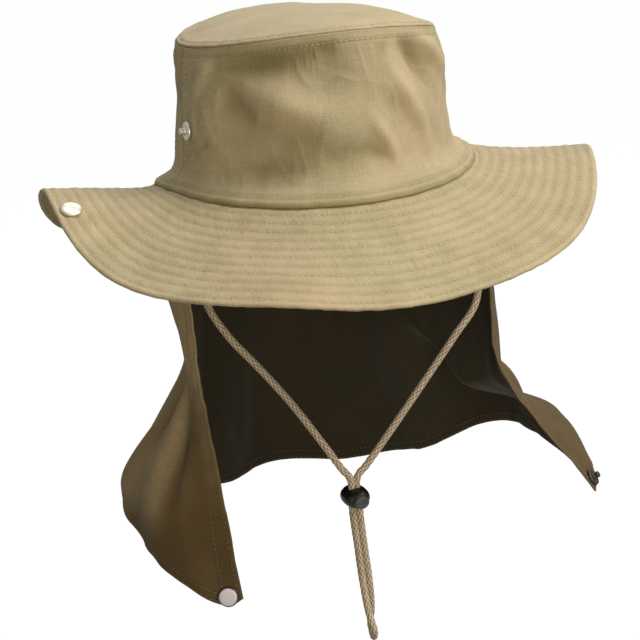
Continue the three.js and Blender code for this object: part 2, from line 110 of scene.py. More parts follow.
# The crown wall from the seam up: the share of the height, and how far in towards the tip's outline
WALL_ROWS = {
    "at": [0, 0.07, 0.14, 0.26, 0.45, 0.7, 0.88, 1],
    "inward": [0, 0.45, 0.62, 0.68, 0.74, 0.8, 0.88, 1],
}

# Dents (negative) and swells of the crown wall: angle, share of the height, width in degrees, height as a
# share, lean, and depth as a share of the crown's height
WALL_DENTS = [
    (-30, 0.74, 24, 0.12, 0, -0.05),
    (-33, 0.61, 12, 0.13, -100, 0.03),
    (-52, 0.47, 9, 0.18, -20, -0.04),
    (-68, 0.6, 6, 0.4, 0, 0.03),
    (-36, 0.16, 14, 0.1, 0, -0.025),
    (2, 0.22, 13, 0.1, 0, -0.03),
    (18, 0.42, 8, 0.15, -75, -0.025),
    (31, 0.8, 9, 0.13, -60, -0.04),
    (28, 0.46, 6, 0.18, -42, 0.035),
    (48, 0.8, 7, 0.14, -60, 0.03),
    (62, 0.42, 8, 0.14, 0, -0.045),
    (135, 0.6, 22, 0.16, 0, -0.035),
    (195, 0.5, 24, 0.14, 0, -0.04),
    (240, 0.65, 18, 0.18, 0, -0.03),
]

# The brim's outer edge every 30 degrees: its height and width as shares of the brim's width
BRIM_TABLE = {
    "at": [index / 12 for index in range(12)],
    "rise": [-0.534, -0.357, 0.03, -0.33, -0.5, -0.55, -0.6, -0.653, -0.526, 0.13, -0.34, -0.43],
    "width": [1.037, 1.102, 0.953, 0.976, 1, 1.02, 1.03, 1.015, 0.98, 0.987, 1.102, 1.064],
}

# The flap from its left front edge round the back to its right front edge, as shares of its drop
FLAP_TABLE = {
    "at": [0, 0.012, 0.04, 0.08, 0.14, 0.2, 0.3, 0.4, 0.5, 0.6, 0.7, 0.78, 0.86, 0.93, 1],
    "shoulder": [0.03, 0.034, 0.043, 0.046, 0.039, 0.028, 0.012, 0.002, 0, 0, 0, 0, 0, 0.002, 0.006],
    "waist": [0.031, 0.029, 0.02, -0.013, -0.036, -0.033, -0.012, 0.011,
              0.027, 0.027, 0.002, 0.012, 0.023, 0.062, 0.035],
    "kick": [0.018, 0.044, 0.105, 0.173, 0.205, 0.151, 0.083, 0.05,
             0.068, 0.149, 0.203, 0.271, 0.221, 0.191, 0.3],
    "from": [0.25, 0.31, 0.45, 0.43, 0.593, 0.54, 0.47, 0.3, 0.3, 0.3, 0.396, 0.555, 0.75, 0.68, 0.522],
    "to": [1.165, 1.1, 0.93, 0.87, 0.91, 0.967, 0.97, 1, 1, 1.016, 1.173, 0.8, 0.923, 0.888, 1.19],
    "along": [-0.138, -0.139, -0.139, -0.136, -0.129, -0.119, -0.094, -0.051,
              0.013, 0.065, 0.048, 0.028, 0.033, 0.062, 0.062],
    "drop": [0.953, 0.97, 0.926, 0.875, 0.817, 0.78, 0.86, 0.971,
             1, 1.03, 0.996, 0.916, 0.874, 0.88, 0.905],
}

# Folds of the flap: place round, width, where each starts, is deepest and has faded, and its depth
FLAP_FOLDS = [
    (0.055, 0.012, 0.3, 0.6, 1.0, -0.026),
    (0.026, 0.013, 0.25, 0.55, 1.3, 0.016),
    (0.115, 0.016, 0.45, 0.75, 1.3, -0.018),
    (0.16, 0.014, 0.4, 0.8, 1.4, 0.014),
    (0.25, 0.03, 0.2, 1, 2, -0.03),
    (0.33, 0.025, 0.15, 1, 2, 0.028),
    (0.42, 0.024, 0.25, 1, 2, -0.022),
    (0.5, 0.03, 0.15, 1, 2, 0.024),
    (0.585, 0.025, 0.25, 1, 2, -0.024),
    (0.66, 0.024, 0.2, 1, 2, 0.022),
    (0.745, 0.022, 0.25, 0.9, 2, -0.022),
    (0.83, 0.02, 0.3, 0.9, 1.6, 0.018),
    (0.955, 0.016, 0.25, 0.6, 1.2, 0.012),
]

BRIM_SNAP_PLACE = (-79.5, 0.88)
CROWN_SNAP_PLACE = (-82.9, 0.412)
FLAP_CAP_PLACE = (0.0105, 0.975)
FLAP_STUD_PLACE = (0.99, 0.975)

# The route of the chin cord: the solid's, but with each hanging strand 0.2 mm nearer to their middle
STRAND_OFFSET = (CORD_DIAMETER + STRAND_GAP) / 2
CORD_POINTS = [
    (-79.8, -22.4, 0.6),
    (-79.3, -23.2, -20),
    (-78.6, -24.4, -42),
    (-75.8, -26.2, -62.5),
    (-67, -29.5, -80.5),
    (-52.7, -34, -100.4),
    (-38.6, -39, -121.2),
    (-24.6, -44.6, -145.5),
    (-14.8, -48.6, -163.5),
    (LOCK_CENTRE[0] - STRAND_OFFSET, LOCK_CENTRE[1], LOCK_CENTRE[2] + 11),
    (LOCK_CENTRE[0] - STRAND_OFFSET, LOCK_CENTRE[1], LOCK_CENTRE[2] - 9),
    (-9.2, -50.2, -212),
    (-7.7, -50.6, -236),
    (-6.6, -53.6, -254),
    (-5, -56, -264.6),
    (-3.7, -50.6, -271.2),
    (-2.8, -45, -264.6),
    (-2.5, -47.4, -254),
    (-3.6, -50.2, -236),
    (-5.1, -50, -212),
    (LOCK_CENTRE[0] + STRAND_OFFSET, LOCK_CENTRE[1], LOCK_CENTRE[2] - 9),
    (LOCK_CENTRE[0] + STRAND_OFFSET, LOCK_CENTRE[1], LOCK_CENTRE[2] + 11),
    (0.2, -49.8, -164),
    (20.4, -49, -142.5),
    (39.3, -48, -122.1),
    (60.1, -46, -100.1),
    (75, -43.6, -84.2),
    (79.6, -39.4, -62),
    (78.8, -34.6, -36),
    (78.2, -31.6, -16),
    (78, -30.3, 0.6),
]

# Curves and noise

def follow(table, place, column, turn=0):
    """A smooth curve through the rows of a table; with a turn, the last row leads on to the first."""
    at = np.array(table["at"], float)
    value = np.array(table[column], float)
    count = len(at)
    if turn:
        place = place - np.floor(place / turn) * turn
        below = np.clip(np.searchsorted(at, place, side="right") - 1, 0, count - 1) + count
        at = np.concatenate([at - turn, at, at + turn])
        value = np.tile(value, 3)
    else:
        place = np.clip(place, 0, 1)
        below = np.clip(np.searchsorted(at, place, side="right") - 1, 0, count - 2) + 1
        at = np.concatenate([at[:1], at, at[-1:]])
        value = np.concatenate([value[:1], value, value[-1:]])
    span = at[below + 1] - at[below]
    share = (place - at[below]) / span
    slope_in = (value[below + 1] - value[below - 1]) / (at[below + 1] - at[below - 1]) * span
    slope_out = (value[below + 2] - value[below]) / (at[below + 2] - at[below]) * span
    squared = share * share
    cubed = squared * share
    return ((2 * cubed - 3 * squared + 1) * value[below] + (cubed - 2 * squared + share) * slope_in
            + (3 * squared - 2 * cubed) * value[below + 1] + (cubed - squared) * slope_out)


def smooth_rise(start, end, value):
    share = np.clip((value - start) / (end - start), 0, 1)
    return share * share * (3 - 2 * share)


def smooth_fall(start, end, value):
    return 1 - smooth_rise(start, end, value)


def swell(start, full, fade, end, value):
    """Rises from start to full, and falls again from fade to end."""
    return smooth_rise(start, full, value) * smooth_fall(fade, end, value)


def bump(distance, width):
    return np.exp(-0.5 * (distance / width) ** 2)


def unit(vectors):
    return vectors / np.linalg.norm(vectors, axis=-1, keepdims=True)


def run_along(line):
    """How far each point of a line is from its first, along the line."""
    return np.concatenate([[0], np.cumsum(np.linalg.norm(np.diff(line, axis=0), axis=1))])


def values_at(place, run, values):
    """What the values of a line's points come to at places along its run."""
    return np.stack([np.interp(place, run, values[:, axis]) for axis in range(3)], axis=-1)


LATTICE = 64


def noise(across, up, seed):
    """Smooth seeded noise from -1 to 1 whose cells are one unit wide."""
    lattice = np.random.default_rng(seed).uniform(-1, 1, (LATTICE, LATTICE))
    left = np.floor(across).astype(int)
    low = np.floor(up).astype(int)
    x = across - left
    y = up - low
    x = x * x * x * (x * (6 * x - 15) + 10)
    y = y * y * y * (y * (6 * y - 15) + 10)
    corner = lambda i, j: lattice[(left + i) % LATTICE, (low + j) % LATTICE]
    bottom = corner(0, 0) * (1 - x) + corner(1, 0) * x
    top = corner(0, 1) * (1 - x) + corner(1, 1) * x
    return bottom * (1 - y) + top * y


# Uneven cloth and cord: the height of each kind of noise, the size of its cells across and up, its seed, and
# the cell that it starts in. The sizes of the shades' cells are shares of the piece.
UNEVEN = {
    "cord_size": (0.025, 9, 1, 5, 0, 0),
    "crown_swell": (0.7, 19, 17, 11, 3, 0),
    "crown_ripple": (0.3, 8, 9.5, 12, 0, 0),
    "crown_crease": (1, 13, 22, 13, 0, 0),
    "crown_top_pucker": (0.2, 4.2, 11, 14, 0, 0),
    "crown_foot_pucker": (0.28, 5.5, 9, 15, 0, 0),
    "crown_shade": (0.02, 1 / 40, 1 / 9, 16, 0, 0),
    "tip_swell": (0.9, 31, 27, 31, 7, 0),
    "tip_ripple": (0.35, 12, 14, 32, 0, 0),
    "tip_pucker": (0.3, 3.3, 1 / 9, 33, 0, 0),
    "brim_wave": (0.7, 34, 30, 41, 0, 0),
    "brim_pucker": (0.16, 3.6, 3.2, 42, 0, 0),
    "brim_ripple": (0.1, 1.9, 5, 43, 0, 0),
    "brim_puff": (0.16, 1 / 260, 1 / 22, 44, 0, 0),
    "brim_shade": (0.035, 1 / 90, 1 / 5, 45, 0, 0),
    "flap_swell": (1, 26, 60, 51, 0, 2),
    "flap_ripple": (0.35, 9, 24, 52, 0, 0),
    "flap_gather": (0.35, 4.5, 40, 53, 0, 0),
    "flap_hem_pucker": (0.55, 6.5, 6.5, 54, 0, 0),
    "flap_shade": (0.03, 1 / 50, 1 / 22, 55, 0, 0),
}


def uneven(kind, across, up):
    height, wide, tall, seed, first_across, first_up = UNEVEN[kind]
    return height * noise(across / wide + first_across, up / tall + first_up, seed)


def fold_lines(across, up, folds, scale):
    """Folds along short bent lines on the unrolled cloth. The scale turns a fold's start, middle and end to
    millimetres, and its width and height follow them."""
    total = np.zeros_like(across)
    share = np.linspace(0, 1, 25)
    for *places, width, height in folds:
        start, middle, end = np.reshape(places, (3, 2)) * scale
        line = np.outer((1 - share) ** 2, start) + np.outer(2 * share * (1 - share), middle)
        line += np.outer(share ** 2, end)
        squared = (across[..., None] - line[:, 0]) ** 2 + (up[..., None] - line[:, 1]) ** 2
        nearest = np.argmin(squared, axis=-1)
        fade = np.sin(np.pi * np.clip(share[nearest], 0.04, 0.96)) ** 0.6
        total += height * fade * np.exp(-0.5 * np.min(squared, axis=-1) / width ** 2)
    return total


# The hat's surfaces

def head_seam(angle):
    turn = np.radians(angle)
    from_front = np.abs((angle + 540) % 360 - 180)
    dip = SEAM_DIP_BACK * smooth_rise(SEAM_DIP_FROM, SEAM_DIP_TO, from_front)
    point = np.stack([HEAD_HALF_WIDTH * np.sin(turn), -HEAD_HALF_DEPTH * np.cos(turn), -dip], axis=-1)
    flat = np.zeros_like(turn)
    out = unit(np.stack([np.sin(turn) / HEAD_HALF_WIDTH, -np.cos(turn) / HEAD_HALF_DEPTH, flat], axis=-1))
    along = np.stack([out[..., 1], -out[..., 0], flat], axis=-1)
    return point, out, along


def brim_point(angle, share):
    point, out = head_seam(angle)[:2]
    width, rise = (BRIM_WIDTH * follow(BRIM_TABLE, angle / 360, column, 1) for column in ("width", "rise"))
    run = np.sqrt(width * width - rise * rise)
    point = point + out * (run * share - BRIM_INSET * (1 - share))[..., None]
    point[..., 2] += (rise - point[..., 2]) * np.maximum(share, 0) ** BRIM_BOW
    return point


def tip_edge(angle):
    turn = np.radians(angle)
    x = np.sin(turn)
    y = -np.cos(turn)
    height = CROWN_HEIGHT - TIP_DROP_RIGHT * x - TIP_DROP_BACK * y + TIP_RISE * np.cos(2 * turn)
    across = TIP_SHIFT_RIGHT + TIP_HALF_WIDTH * x
    return np.stack([across, -TIP_SHIFT_FORWARD + TIP_HALF_DEPTH * y, height], axis=-1)


def crown_point(angle, up):
    point, out = head_seam(angle)[:2]
    edge = tip_edge(angle)
    base = point[..., 2] + BRIM_WALL / 2 + SEAM_GAP + CROWN_WALL / 2
    point = point + (edge - point) * follow(WALL_ROWS, up, "inward")[..., None]
    point[..., 2] = base + (edge[..., 2] - base) * up
    push = np.zeros_like(up)
    for dent_angle, dent_up, width, tall, lean, depth in WALL_DENTS:
        around = (angle - dent_angle + 540) % 360 - 180
        leaned = around - lean * (up - dent_up)
        push += depth * bump(leaned, width) * bump(up - dent_up, tall)
    return point + out * (CROWN_HEIGHT * push * swell(0, DENTS_FROM, DENTS_TO, 1, up))[..., None]


def tip_point(angle, share):
    edge = tip_edge(angle)
    turn = np.radians(angle)
    middle = np.array([TIP_SHIFT_RIGHT, -TIP_SHIFT_FORWARD, 0.0])
    slope = -TIP_DROP_RIGHT * np.sin(turn) + TIP_DROP_BACK * np.cos(turn)
    saddle = TIP_RISE * np.cos(2 * turn)
    point = middle + (edge - middle) * share[..., None]
    point[..., 2] = (CROWN_HEIGHT + CROWN_WALL / 2 + SEAM_GAP + slope * share + saddle * share * share
                     + TIP_DOME * (1 - np.abs(share) ** TIP_DOME_POWER))
    return point


def flap_point(around, down):
    point, side, along = head_seam(-FLAP_FRONT_ANGLE - around * (360 - 2 * FLAP_FRONT_ANGLE))
    value = lambda column: follow(FLAP_TABLE, around, column)
    out = value("waist") * smooth_rise(FLAP_WAIST_FROM, FLAP_WAIST_TO, down)
    out = out + value("kick") * smooth_rise(value("from"), value("to"), down)
    out = out + value("shoulder") * swell(0, FLAP_SHOULDER_FULL, FLAP_SHOULDER_FULL, FLAP_SHOULDER_END, down)
    for at, width, start, full, fade, depth in FLAP_FOLDS:
        out = out + depth * bump(around - at, width) * swell(start, full, full, fade, down)
    draw = value("along") * np.maximum(down, 0) ** FLAP_DRAW_POWER
    start = point[..., 2] - (BRIM_WALL / 2 + SEAM_GAP + FLAP_WALL)
    point = point + side * (FLAP_DROP * out - FLAP_INSET)[..., None] + along * (FLAP_DROP * draw)[..., None]
    point[..., 2] = start - (FLAP_DROP * value("drop") + start) * down
    return point


def facing(surface, first, second):
    step = 0.002
    along_first = surface(first + step, second) - surface(first - step, second)
    along_second = surface(first, second + step) - surface(first, second - step)
    return unit(np.cross(along_first, along_second))


# Materials. The relief of their bumps is in metres.

SHEEN_ROUGHNESS = 0.5
COAT_ROUGHNESS = 0.25
FINE_RELIEF = 0.0002
WEAVE_RELIEF = 0.0003
SLUB_RELIEF = 0.0004
THREAD_PITCH = 0.62


class Shader:
    """A material with a Principled shader and short ways to add nodes to it."""

    def __init__(self, name, roughness, metallic=0.0, sheen=0.0, specular=0.5, coat=0.0):
        self.material = bpy.data.materials.new(name)
        self.material.use_nodes = True
        self.tree = self.material.node_tree
        self.tree.nodes.clear()
        self.principled = self.add("ShaderNodeBsdfPrincipled", {
            "Roughness": roughness, "Metallic": metallic, "Specular IOR Level": specular,
            "Sheen Weight": sheen, "Sheen Roughness": SHEEN_ROUGHNESS,
            "Coat Weight": coat, "Coat Roughness": COAT_ROUGHNESS,
        })
        self.add("ShaderNodeOutputMaterial", {"Surface": self.principled.outputs["BSDF"]})

    def add(self, kind, inputs=None, **settings):
        """A new node, whose inputs are set to numbers and colours or linked to other nodes' outputs."""
        node = self.tree.nodes.new(kind)
        for key, value in settings.items():
            setattr(node, key, value)
        for key, value in (inputs or {}).items():
            self.put(node.inputs[key], value)
        return node

    def put(self, socket, value):
        if isinstance(value, bpy.types.NodeSocket):
            self.tree.links.new(value, socket)
        else:
            socket.default_value = value

    def math(self, operation, first, second):
        return self.add("ShaderNodeMath", {0: first, 1: second}, operation=operation).outputs[0]

    def weave_place(self, scale=(1, 1, 1)):
        place = self.add("ShaderNodeUVMap", uv_map="weave").outputs["UV"]
        return self.add("ShaderNodeMapping", {"Vector": place, "Scale": scale}).outputs["Vector"]

    def noise(self, place, scale=1.0, detail=2.0):
        inputs = {"Vector": place, "Scale": scale, "Detail": detail}
        return self.add("ShaderNodeTexNoise", inputs).outputs["Fac"]

    def patches(self, scale, detail=2.0):
        return self.noise(self.add("ShaderNodeTexCoord").outputs["Object"], scale, detail)

    def wave(self, place, scale, direction):
        inputs = {"Vector": place, "Scale": scale, "Distortion": 0.0}
        settings = {"wave_type": "BANDS", "bands_direction": direction, "wave_profile": "SIN"}
        return self.add("ShaderNodeTexWave", inputs, **settings).outputs["Fac"]

    def remap(self, value, limits, results):
        names = ("Value", "From Min", "From Max", "To Min", "To Max")
        inputs = dict(zip(names, (value, *limits, *results)))
        return self.add("ShaderNodeMapRange", inputs).outputs["Result"]

    def blend(self, factor, first, second, mode="MIX"):
        inputs = {0: factor, 6: first, 7: second}
        return self.add("ShaderNodeMix", inputs, data_type="RGBA", blend_type=mode).outputs[2]

    def between(self, first, second, value, limits, shares=(0.0, 1.0)):
        """The first colour with a share of the second, which changes with a value."""
        return self.blend(self.remap(value, limits, shares), first, second)

    def bump(self, height, strength, distance, under=None):
        inputs = {"Strength": strength, "Distance": distance, "Height": height}
        if under is not None:
            inputs["Normal"] = under
        return self.add("ShaderNodeBump", inputs).outputs["Normal"]

    def shade(self):
        attribute = self.add("ShaderNodeAttribute", attribute_type="GEOMETRY", attribute_name="shade")
        return self.add("ShaderNodeSeparateColor", {0: attribute.outputs["Color"]}).outputs[0]

    def dressed(self, colour, normal, roughness=None):
        self.put(self.principled.inputs["Base Color"], colour)
        self.put(self.principled.inputs["Normal"], normal)
        if roughness is not None:
            self.put(self.principled.inputs["Roughness"], roughness)
        return self.material


def linear(*colour):
    """A colour given as on a screen, from 0 to 255."""
    return tuple(((v / 255 + 0.055) / 1.055) ** 2.4 if v > 10 else v / 255 / 12.92 for v in colour) + (1.0,)


def cloth_material(name, body, dark, light, warm, painted_shade_colour):
    """Woven cotton: crossing threads with slubs, faded patches and pale worn edges. The shade values add
    painted shade in seams, grooves and hollows and painted light on ridges.
    """
    cloth = Shader(name, roughness=0.88, sheen=0.12, specular=0.25)
    place = cloth.weave_place()
    bands = 2 * math.pi / 20 / THREAD_PITCH
    waves = [cloth.math("SUBTRACT", cloth.wave(place, bands, way), 0.5) for way in "XY"]
    crossing = cloth.math("MULTIPLY", *waves)
    yarns = [cloth.noise(cloth.weave_place(scale), detail=3.0) for scale in ((1.9, 0.11, 1), (0.11, 1.9, 1))]
    slub = cloth.math("ADD", *yarns)
    speck = cloth.noise(place, 0.75)
    shade = cloth.shade()
    colour = cloth.between(dark, light, slub, (0.72, 1.28))
    colour = cloth.blend(0.55, colour, body)
    colour = cloth.between(colour, warm, cloth.patches(17.0), (0.42, 0.68), (0.0, 0.45))
    # Painted shade and light: low shade values blend towards the painted shade colour, and the tone darkens
    # with low shade values and lightens with high ones. The crossing tone makes the weave's dips a little
    # darker, which is also painted shade.
    colour = cloth.between(colour, painted_shade_colour, shade, (0.15, 0.5), (0.9, 0.0))
    tone = cloth.remap(cloth.patches(34.0, 3.0), (0.3, 0.7), (0.93, 1.06))
    for value, limits, tones in (
        (speck, (0.35, 0.65), (0.96, 1.04)),
        (crossing, (-0.25, 0.25), (0.94, 1.06)),
        (shade, (0.0, 1.0), (0.45, 1.55)),
    ):
        tone = cloth.math("MULTIPLY", tone, cloth.remap(value, limits, tones))
    grey = cloth.add("ShaderNodeCombineColor", {channel: tone for channel in range(3)})
    colour = cloth.blend(1.0, colour, grey.outputs[0], "MULTIPLY")
    threads = cloth.bump(crossing, 0.35, WEAVE_RELIEF)
    slubs = cloth.bump(slub, 0.3, SLUB_RELIEF, threads)
    return cloth.dressed(colour, slubs, cloth.remap(slub, (0.7, 1.3), (0.82, 0.95)))


def thread_material(name, body, dark):
    """Sewing thread: a tight twist with painted shade in its grooves."""
    thread = Shader(name, roughness=0.7, sheen=0.2, specular=0.3)
    twist = thread.patches(1800.0, 1.0)
    colour = thread.between(dark, body, twist, (0.35, 0.65))
    colour = thread.between(colour, dark, thread.patches(60.0), (0.3, 0.7), (0.0, 0.25))
    return thread.dressed(colour, thread.bump(twist, 0.4, FINE_RELIEF))


def cord_material(name):
    """Braided cord: pale plaits with painted brown shade in the crevices between them, and a few tinted
    yarns.
    """
    cord = Shader(name, roughness=0.8, sheen=0.25, specular=0.25)
    yarn = cord.noise(cord.weave_place((2.6, 0.5, 1)))
    tint = cord.noise(cord.weave_place((0.45, 0.2, 1)))
    colour = cord.between(linear(212, 188, 156), linear(246, 229, 204), yarn, (0.3, 0.7))
    colour = cord.between(colour, linear(212, 176, 148), tint, (0.5, 0.66), (0.0, 0.5))
    colour = cord.between(colour, linear(190, 174, 140), cord.patches(70.0), (0.35, 0.65), (0.0, 0.3))
    # Painted shade: brown where the plaits' relief is low, between them.
    colour = cord.between(colour, linear(92, 66, 46), cord.shade(), (0.2, 0.72), (1.0, 0.0))
    return cord.dressed(colour, cord.bump(yarn, 0.3, FINE_RELIEF))


def worn_material(name, colour, worn, roughness, patch, limits, grain, relief, duller, **settings):
    """A hard surface with a fine grain, whose worn patches have another colour and are duller."""
    hard = Shader(name, roughness=roughness, **settings)
    patches = hard.patches(*patch)
    rough = hard.remap(patches, (0.3, 0.7), (roughness * 0.8, roughness * duller))
    return hard.dressed(hard.between(colour, worn, patches, limits, (0.0, 0.6)),
                        hard.bump(hard.patches(grain), relief, FINE_RELIEF), rough)


def metal_material(name, colour, shadow):
    """Plated metal with fine scratches."""
    return worn_material(name, colour, shadow, 0.4, (130.0, 2.0), (0.4, 0.7), 2600.0, 0.015, 1.5,
                         metallic=1.0)


def moulded_material(name, colour, light, roughness, coat=0.0):
    """Moulded plastic or enamel with a slightly scuffed gloss."""
    return worn_material(name, colour, light, roughness, (260.0, 4.0), (0.45, 0.75), 3200.0, 0.06, 1.3,
                         coat=coat)


# Meshes

def placed(name, data):
    piece = bpy.data.objects.new(name, data)
    bpy.context.scene.collection.objects.link(piece)
    return piece


def make_mesh(name, points, faces, materials, weave=None, shade=None, material_index=None):
    """An object from points in millimetres, with the cloth's own coordinates and its shading values."""
    mesh = bpy.data.meshes.new(name)
    faces = faces.tolist() if hasattr(faces, "tolist") else faces
    mesh.from_pydata((np.asarray(points) * MM).tolist(), [], faces)
    for material in materials:
        mesh.materials.append(material)
    corner_points = np.empty(len(mesh.loops), dtype=np.int32)
    mesh.loops.foreach_get("vertex_index", corner_points)
    if weave is not None:
        layer = mesh.uv_layers.new(name="weave")
        layer.data.foreach_set("uv", np.asarray(weave, dtype=np.float32)[corner_points].ravel())
    if shade is not None:
        colours = np.ones((len(points), 4), dtype=np.float32)
        colours[:, 0] = shade
        attribute = mesh.color_attributes.new("shade", "FLOAT_COLOR", "POINT")
        attribute.data.foreach_set("color", colours.ravel())
    if material_index is not None:
        mesh.polygons.foreach_set("material_index", np.asarray(material_index, dtype=np.int32))
    mesh.polygons.foreach_set("use_smooth", np.ones(len(mesh.polygons), dtype=bool))
    mesh.update()
    return placed(name, mesh)


def grid_faces(rows, columns, start=0, flip=False, closed=False):
    """Quads of a grid of points; closed joins the last column to the first."""
    across = columns if closed else columns - 1
    row, column = np.meshgrid(np.arange(rows - 1), np.arange(across), indexing="ij")
    following = (column + 1) % columns
    a = start + row * columns + column
    b = start + row * columns + following
    c = start + (row + 1) * columns + following
    d = start + (row + 1) * columns + column
    quads = np.stack([a, b, c, d] if not flip else [a, d, c, b], axis=-1)
    return quads.reshape(-1, 4)


def rounded_edge(distance, half):
    """Half the thickness of cloth whose edge is folded over, at a distance from the edge."""
    share = np.clip(distance / (1.6 * half), 0, 1)
    return half * np.sqrt(np.maximum(1 - (1 - share) ** 2, 0.02))


def shell(name, surface, first, second, half_out, half_in, materials, weave, shade, shade_in, closed=False,
          peaked=False, smooth=None):
    """A closed cloth wall on a surface. The halves of its thickness and its shades are grids of numbers. A
    closed wall goes all the way round, and a peaked one comes to a point before its first row. A smoother
    surface may give the way out."""
    column_grid, row_grid = np.meshgrid(first, second)
    middle = surface(column_grid, row_grid)
    outward = facing(smooth or surface, column_grid, row_grid)
    outer = middle + outward * half_out[..., None]
    inner = middle - outward * half_in[..., None]
    rows, columns = column_grid.shape
    count = rows * columns
    points = np.concatenate([outer.reshape(-1, 3), inner.reshape(-1, 3)])
    shades = np.concatenate([shade.ravel(), shade_in.ravel()])
    outer_faces = grid_faces(rows, columns, 0, False, closed)
    inner_faces = grid_faces(rows, columns, count, True, closed)
    around = np.arange(columns if closed else columns - 1)
    following = (around + 1) % columns
    last = (rows - 1) * columns
    edges = []
    if not peaked:
        edges.append(np.stack([count + around, count + following, following, around], axis=-1))
    edges.append(np.stack([last + around, last + following, count + last + following, count + last + around],
                          axis=-1))
    if not closed:
        down = np.arange(rows - 1) * columns
        below = down + columns
        far = columns - 1
        edges.append(np.stack([down, below, count + below, count + down], axis=-1))
        edges.append(np.stack([count + down + far, count + below + far, below + far, down + far], axis=-1))
    faces = np.concatenate([outer_faces, inner_faces] + edges).tolist()
    if peaked:
        peak = surface(np.array(0.0), np.array(0.0))
        points = np.concatenate([points, [peak + [0, 0, half_out[0, 0]], peak - [0, 0, half_in[0, 0]]]])
        shades = np.concatenate([shades, [shade[0, 0], shade_in[0, 0]]])
        pairs = list(zip(around.tolist(), following.tolist()))
        faces += [(2 * count, b, a) for a, b in pairs]
        faces += [(2 * count + 1, count + a, count + b) for a, b in pairs]
    index = np.zeros(len(faces), dtype=int)
    index[len(outer_faces):len(outer_faces) + len(inner_faces)] = len(materials) - 1
    weave_points = points[:, :2] if weave is None else np.concatenate([weave.reshape(-1, 2)] * 2)
    return make_mesh(name, points, faces, materials, weave_points, shades, index)


def cloth_measure(points):
    """Cloth coordinates of a grid in millimetres, along its rows and down its columns."""
    across = np.linalg.norm(np.diff(points, axis=1), axis=-1)
    down = np.linalg.norm(np.diff(points, axis=0), axis=-1)
    u = np.concatenate([np.zeros((points.shape[0], 1)), np.cumsum(across, axis=1)], axis=1)
    v = np.concatenate([np.zeros((1, points.shape[1])), np.cumsum(down, axis=0)], axis=0)
    return np.stack([u - u[:, -1:] / 2, v], axis=-1)


# The stitches of each piece: their length, the gap between them, their width and height, and their seed
STITCHES = {
    "crown_stitches": (2.1, 0.75, 0.55, 0.5, 21),
    "tip_stitches": (2.1, 0.75, 0.5, 0.45, 22),
    "brim_stitches_above": (2.2, 0.7, 0.62, 0.5, 23),
    "brim_stitches_below": (2.2, 0.7, 0.62, 0.5, 24),
    "flap_stitches": (2.2, 0.8, 0.5, 0.42, 25),
}
STITCH_RINGS = [(-0.36, 0.75), (0.0, 1.0), (0.36, 0.75)]
STITCH_SIDES = 6
STITCH_SINK = 0.12
STITCH_LIFT = 0.06
STITCH_DRIFT = 0.12
STITCH_LEAN = 0.06


def stitch_faces():
    """The faces of one stitch: a point, its rings and a point."""
    faces = []
    sides = [(side, (side + 1) % STITCH_SIDES) for side in range(STITCH_SIDES)]
    for ring in range(len(STITCH_RINGS) - 1):
        low = 1 + ring * STITCH_SIDES
        high = low + STITCH_SIDES
        faces += [(low + side, low + nxt, high + nxt, high + side) for side, nxt in sides]
    end = 1 + len(STITCH_RINGS) * STITCH_SIDES
    for side, nxt in sides:
        faces += [(0, 1 + nxt, 1 + side), (end, end - STITCH_SIDES + side, end - STITCH_SIDES + nxt)]
    return faces


def stitch_rows(name, rows, material, slot_name):
    """Sewn rows of small bent capsules. Each row is a line of points and the way out of the cloth there."""
    length, gap, width, height, seed = STITCHES[name]
    random = np.random.default_rng(seed)
    points = []
    for line, out in rows:
        run = run_along(line)
        count = int(run[-1] // (length + gap))
        pitch = run[-1] / count
        centres = (np.arange(count) + 0.5) * pitch + random.uniform(-STITCH_DRIFT, STITCH_DRIFT, count)
        centre = values_at(centres, run, line)
        half = length * pitch / (length + gap) / 2
        ends = [values_at(np.clip(centres + side * half, 0, run[-1]), run, line) for side in (1, -1)]
        along = unit(ends[0] - ends[1])
        side_way = unit(np.cross(values_at(centres, run, out), along))
        normal = np.cross(along, side_way)
        along = along + side_way * random.uniform(-STITCH_LEAN, STITCH_LEAN, count)[:, None]
        rings = [centre - along * half - normal * STITCH_SINK]
        for place, size in STITCH_RINGS:
            middle = centre + along * (2 * half * place)
            for turn in 2 * math.pi * np.arange(STITCH_SIDES) / STITCH_SIDES:
                rings.append(middle + side_way * (width / 2 * size * math.cos(turn))
                             + normal * (height / 2 * size * math.sin(turn) + STITCH_LIFT * size))
        rings.append(centre + along * half - normal * STITCH_SINK)
        points.append(np.stack(rings, axis=1).reshape(-1, 3))
    points = np.concatenate(points)
    pattern = stitch_faces()
    per_stitch = 2 + len(STITCH_RINGS) * STITCH_SIDES
    faces = []
    for start in range(0, len(points), per_stitch):
        faces += [tuple(start + corner for corner in face) for face in pattern]
    return finished(make_mesh(name, points, faces, [material]), "hat", slot_name)


def turned(name, profile, centre, axis, materials, bands=None, steps=48):
    """A piece turned round an axis. The profile is radius and height pairs, and the bands its materials."""
    axis = unit(np.asarray(axis, float))
    side = unit(np.cross([0, 0, 1] if abs(axis[2]) < 0.9 else [1, 0, 0], axis))
    other = np.cross(axis, side)
    turns = 2 * math.pi * np.arange(steps) / steps
    ring = side * np.cos(turns)[:, None] + other * np.sin(turns)[:, None]
    points = []
    faces = []
    index = []
    previous = None
    for place, (radius, height) in enumerate(profile):
        start = len(points)
        middle = np.asarray(centre) + axis * height
        here = [start] * steps if radius == 0 else list(range(start, start + steps))
        points.extend([middle] if radius == 0 else list(middle + ring * radius))
        if previous is not None:
            for step in range(steps):
                nxt = (step + 1) % steps
                face = [previous[step], previous[nxt], here[nxt], here[step]]
                face = tuple(dict.fromkeys(face))
                if len(face) > 2:
                    faces.append(face)
                    index.append(bands[place - 1] if bands else 0)
        previous = here
    return make_mesh(name, np.array(points), faces, materials, material_index=index)


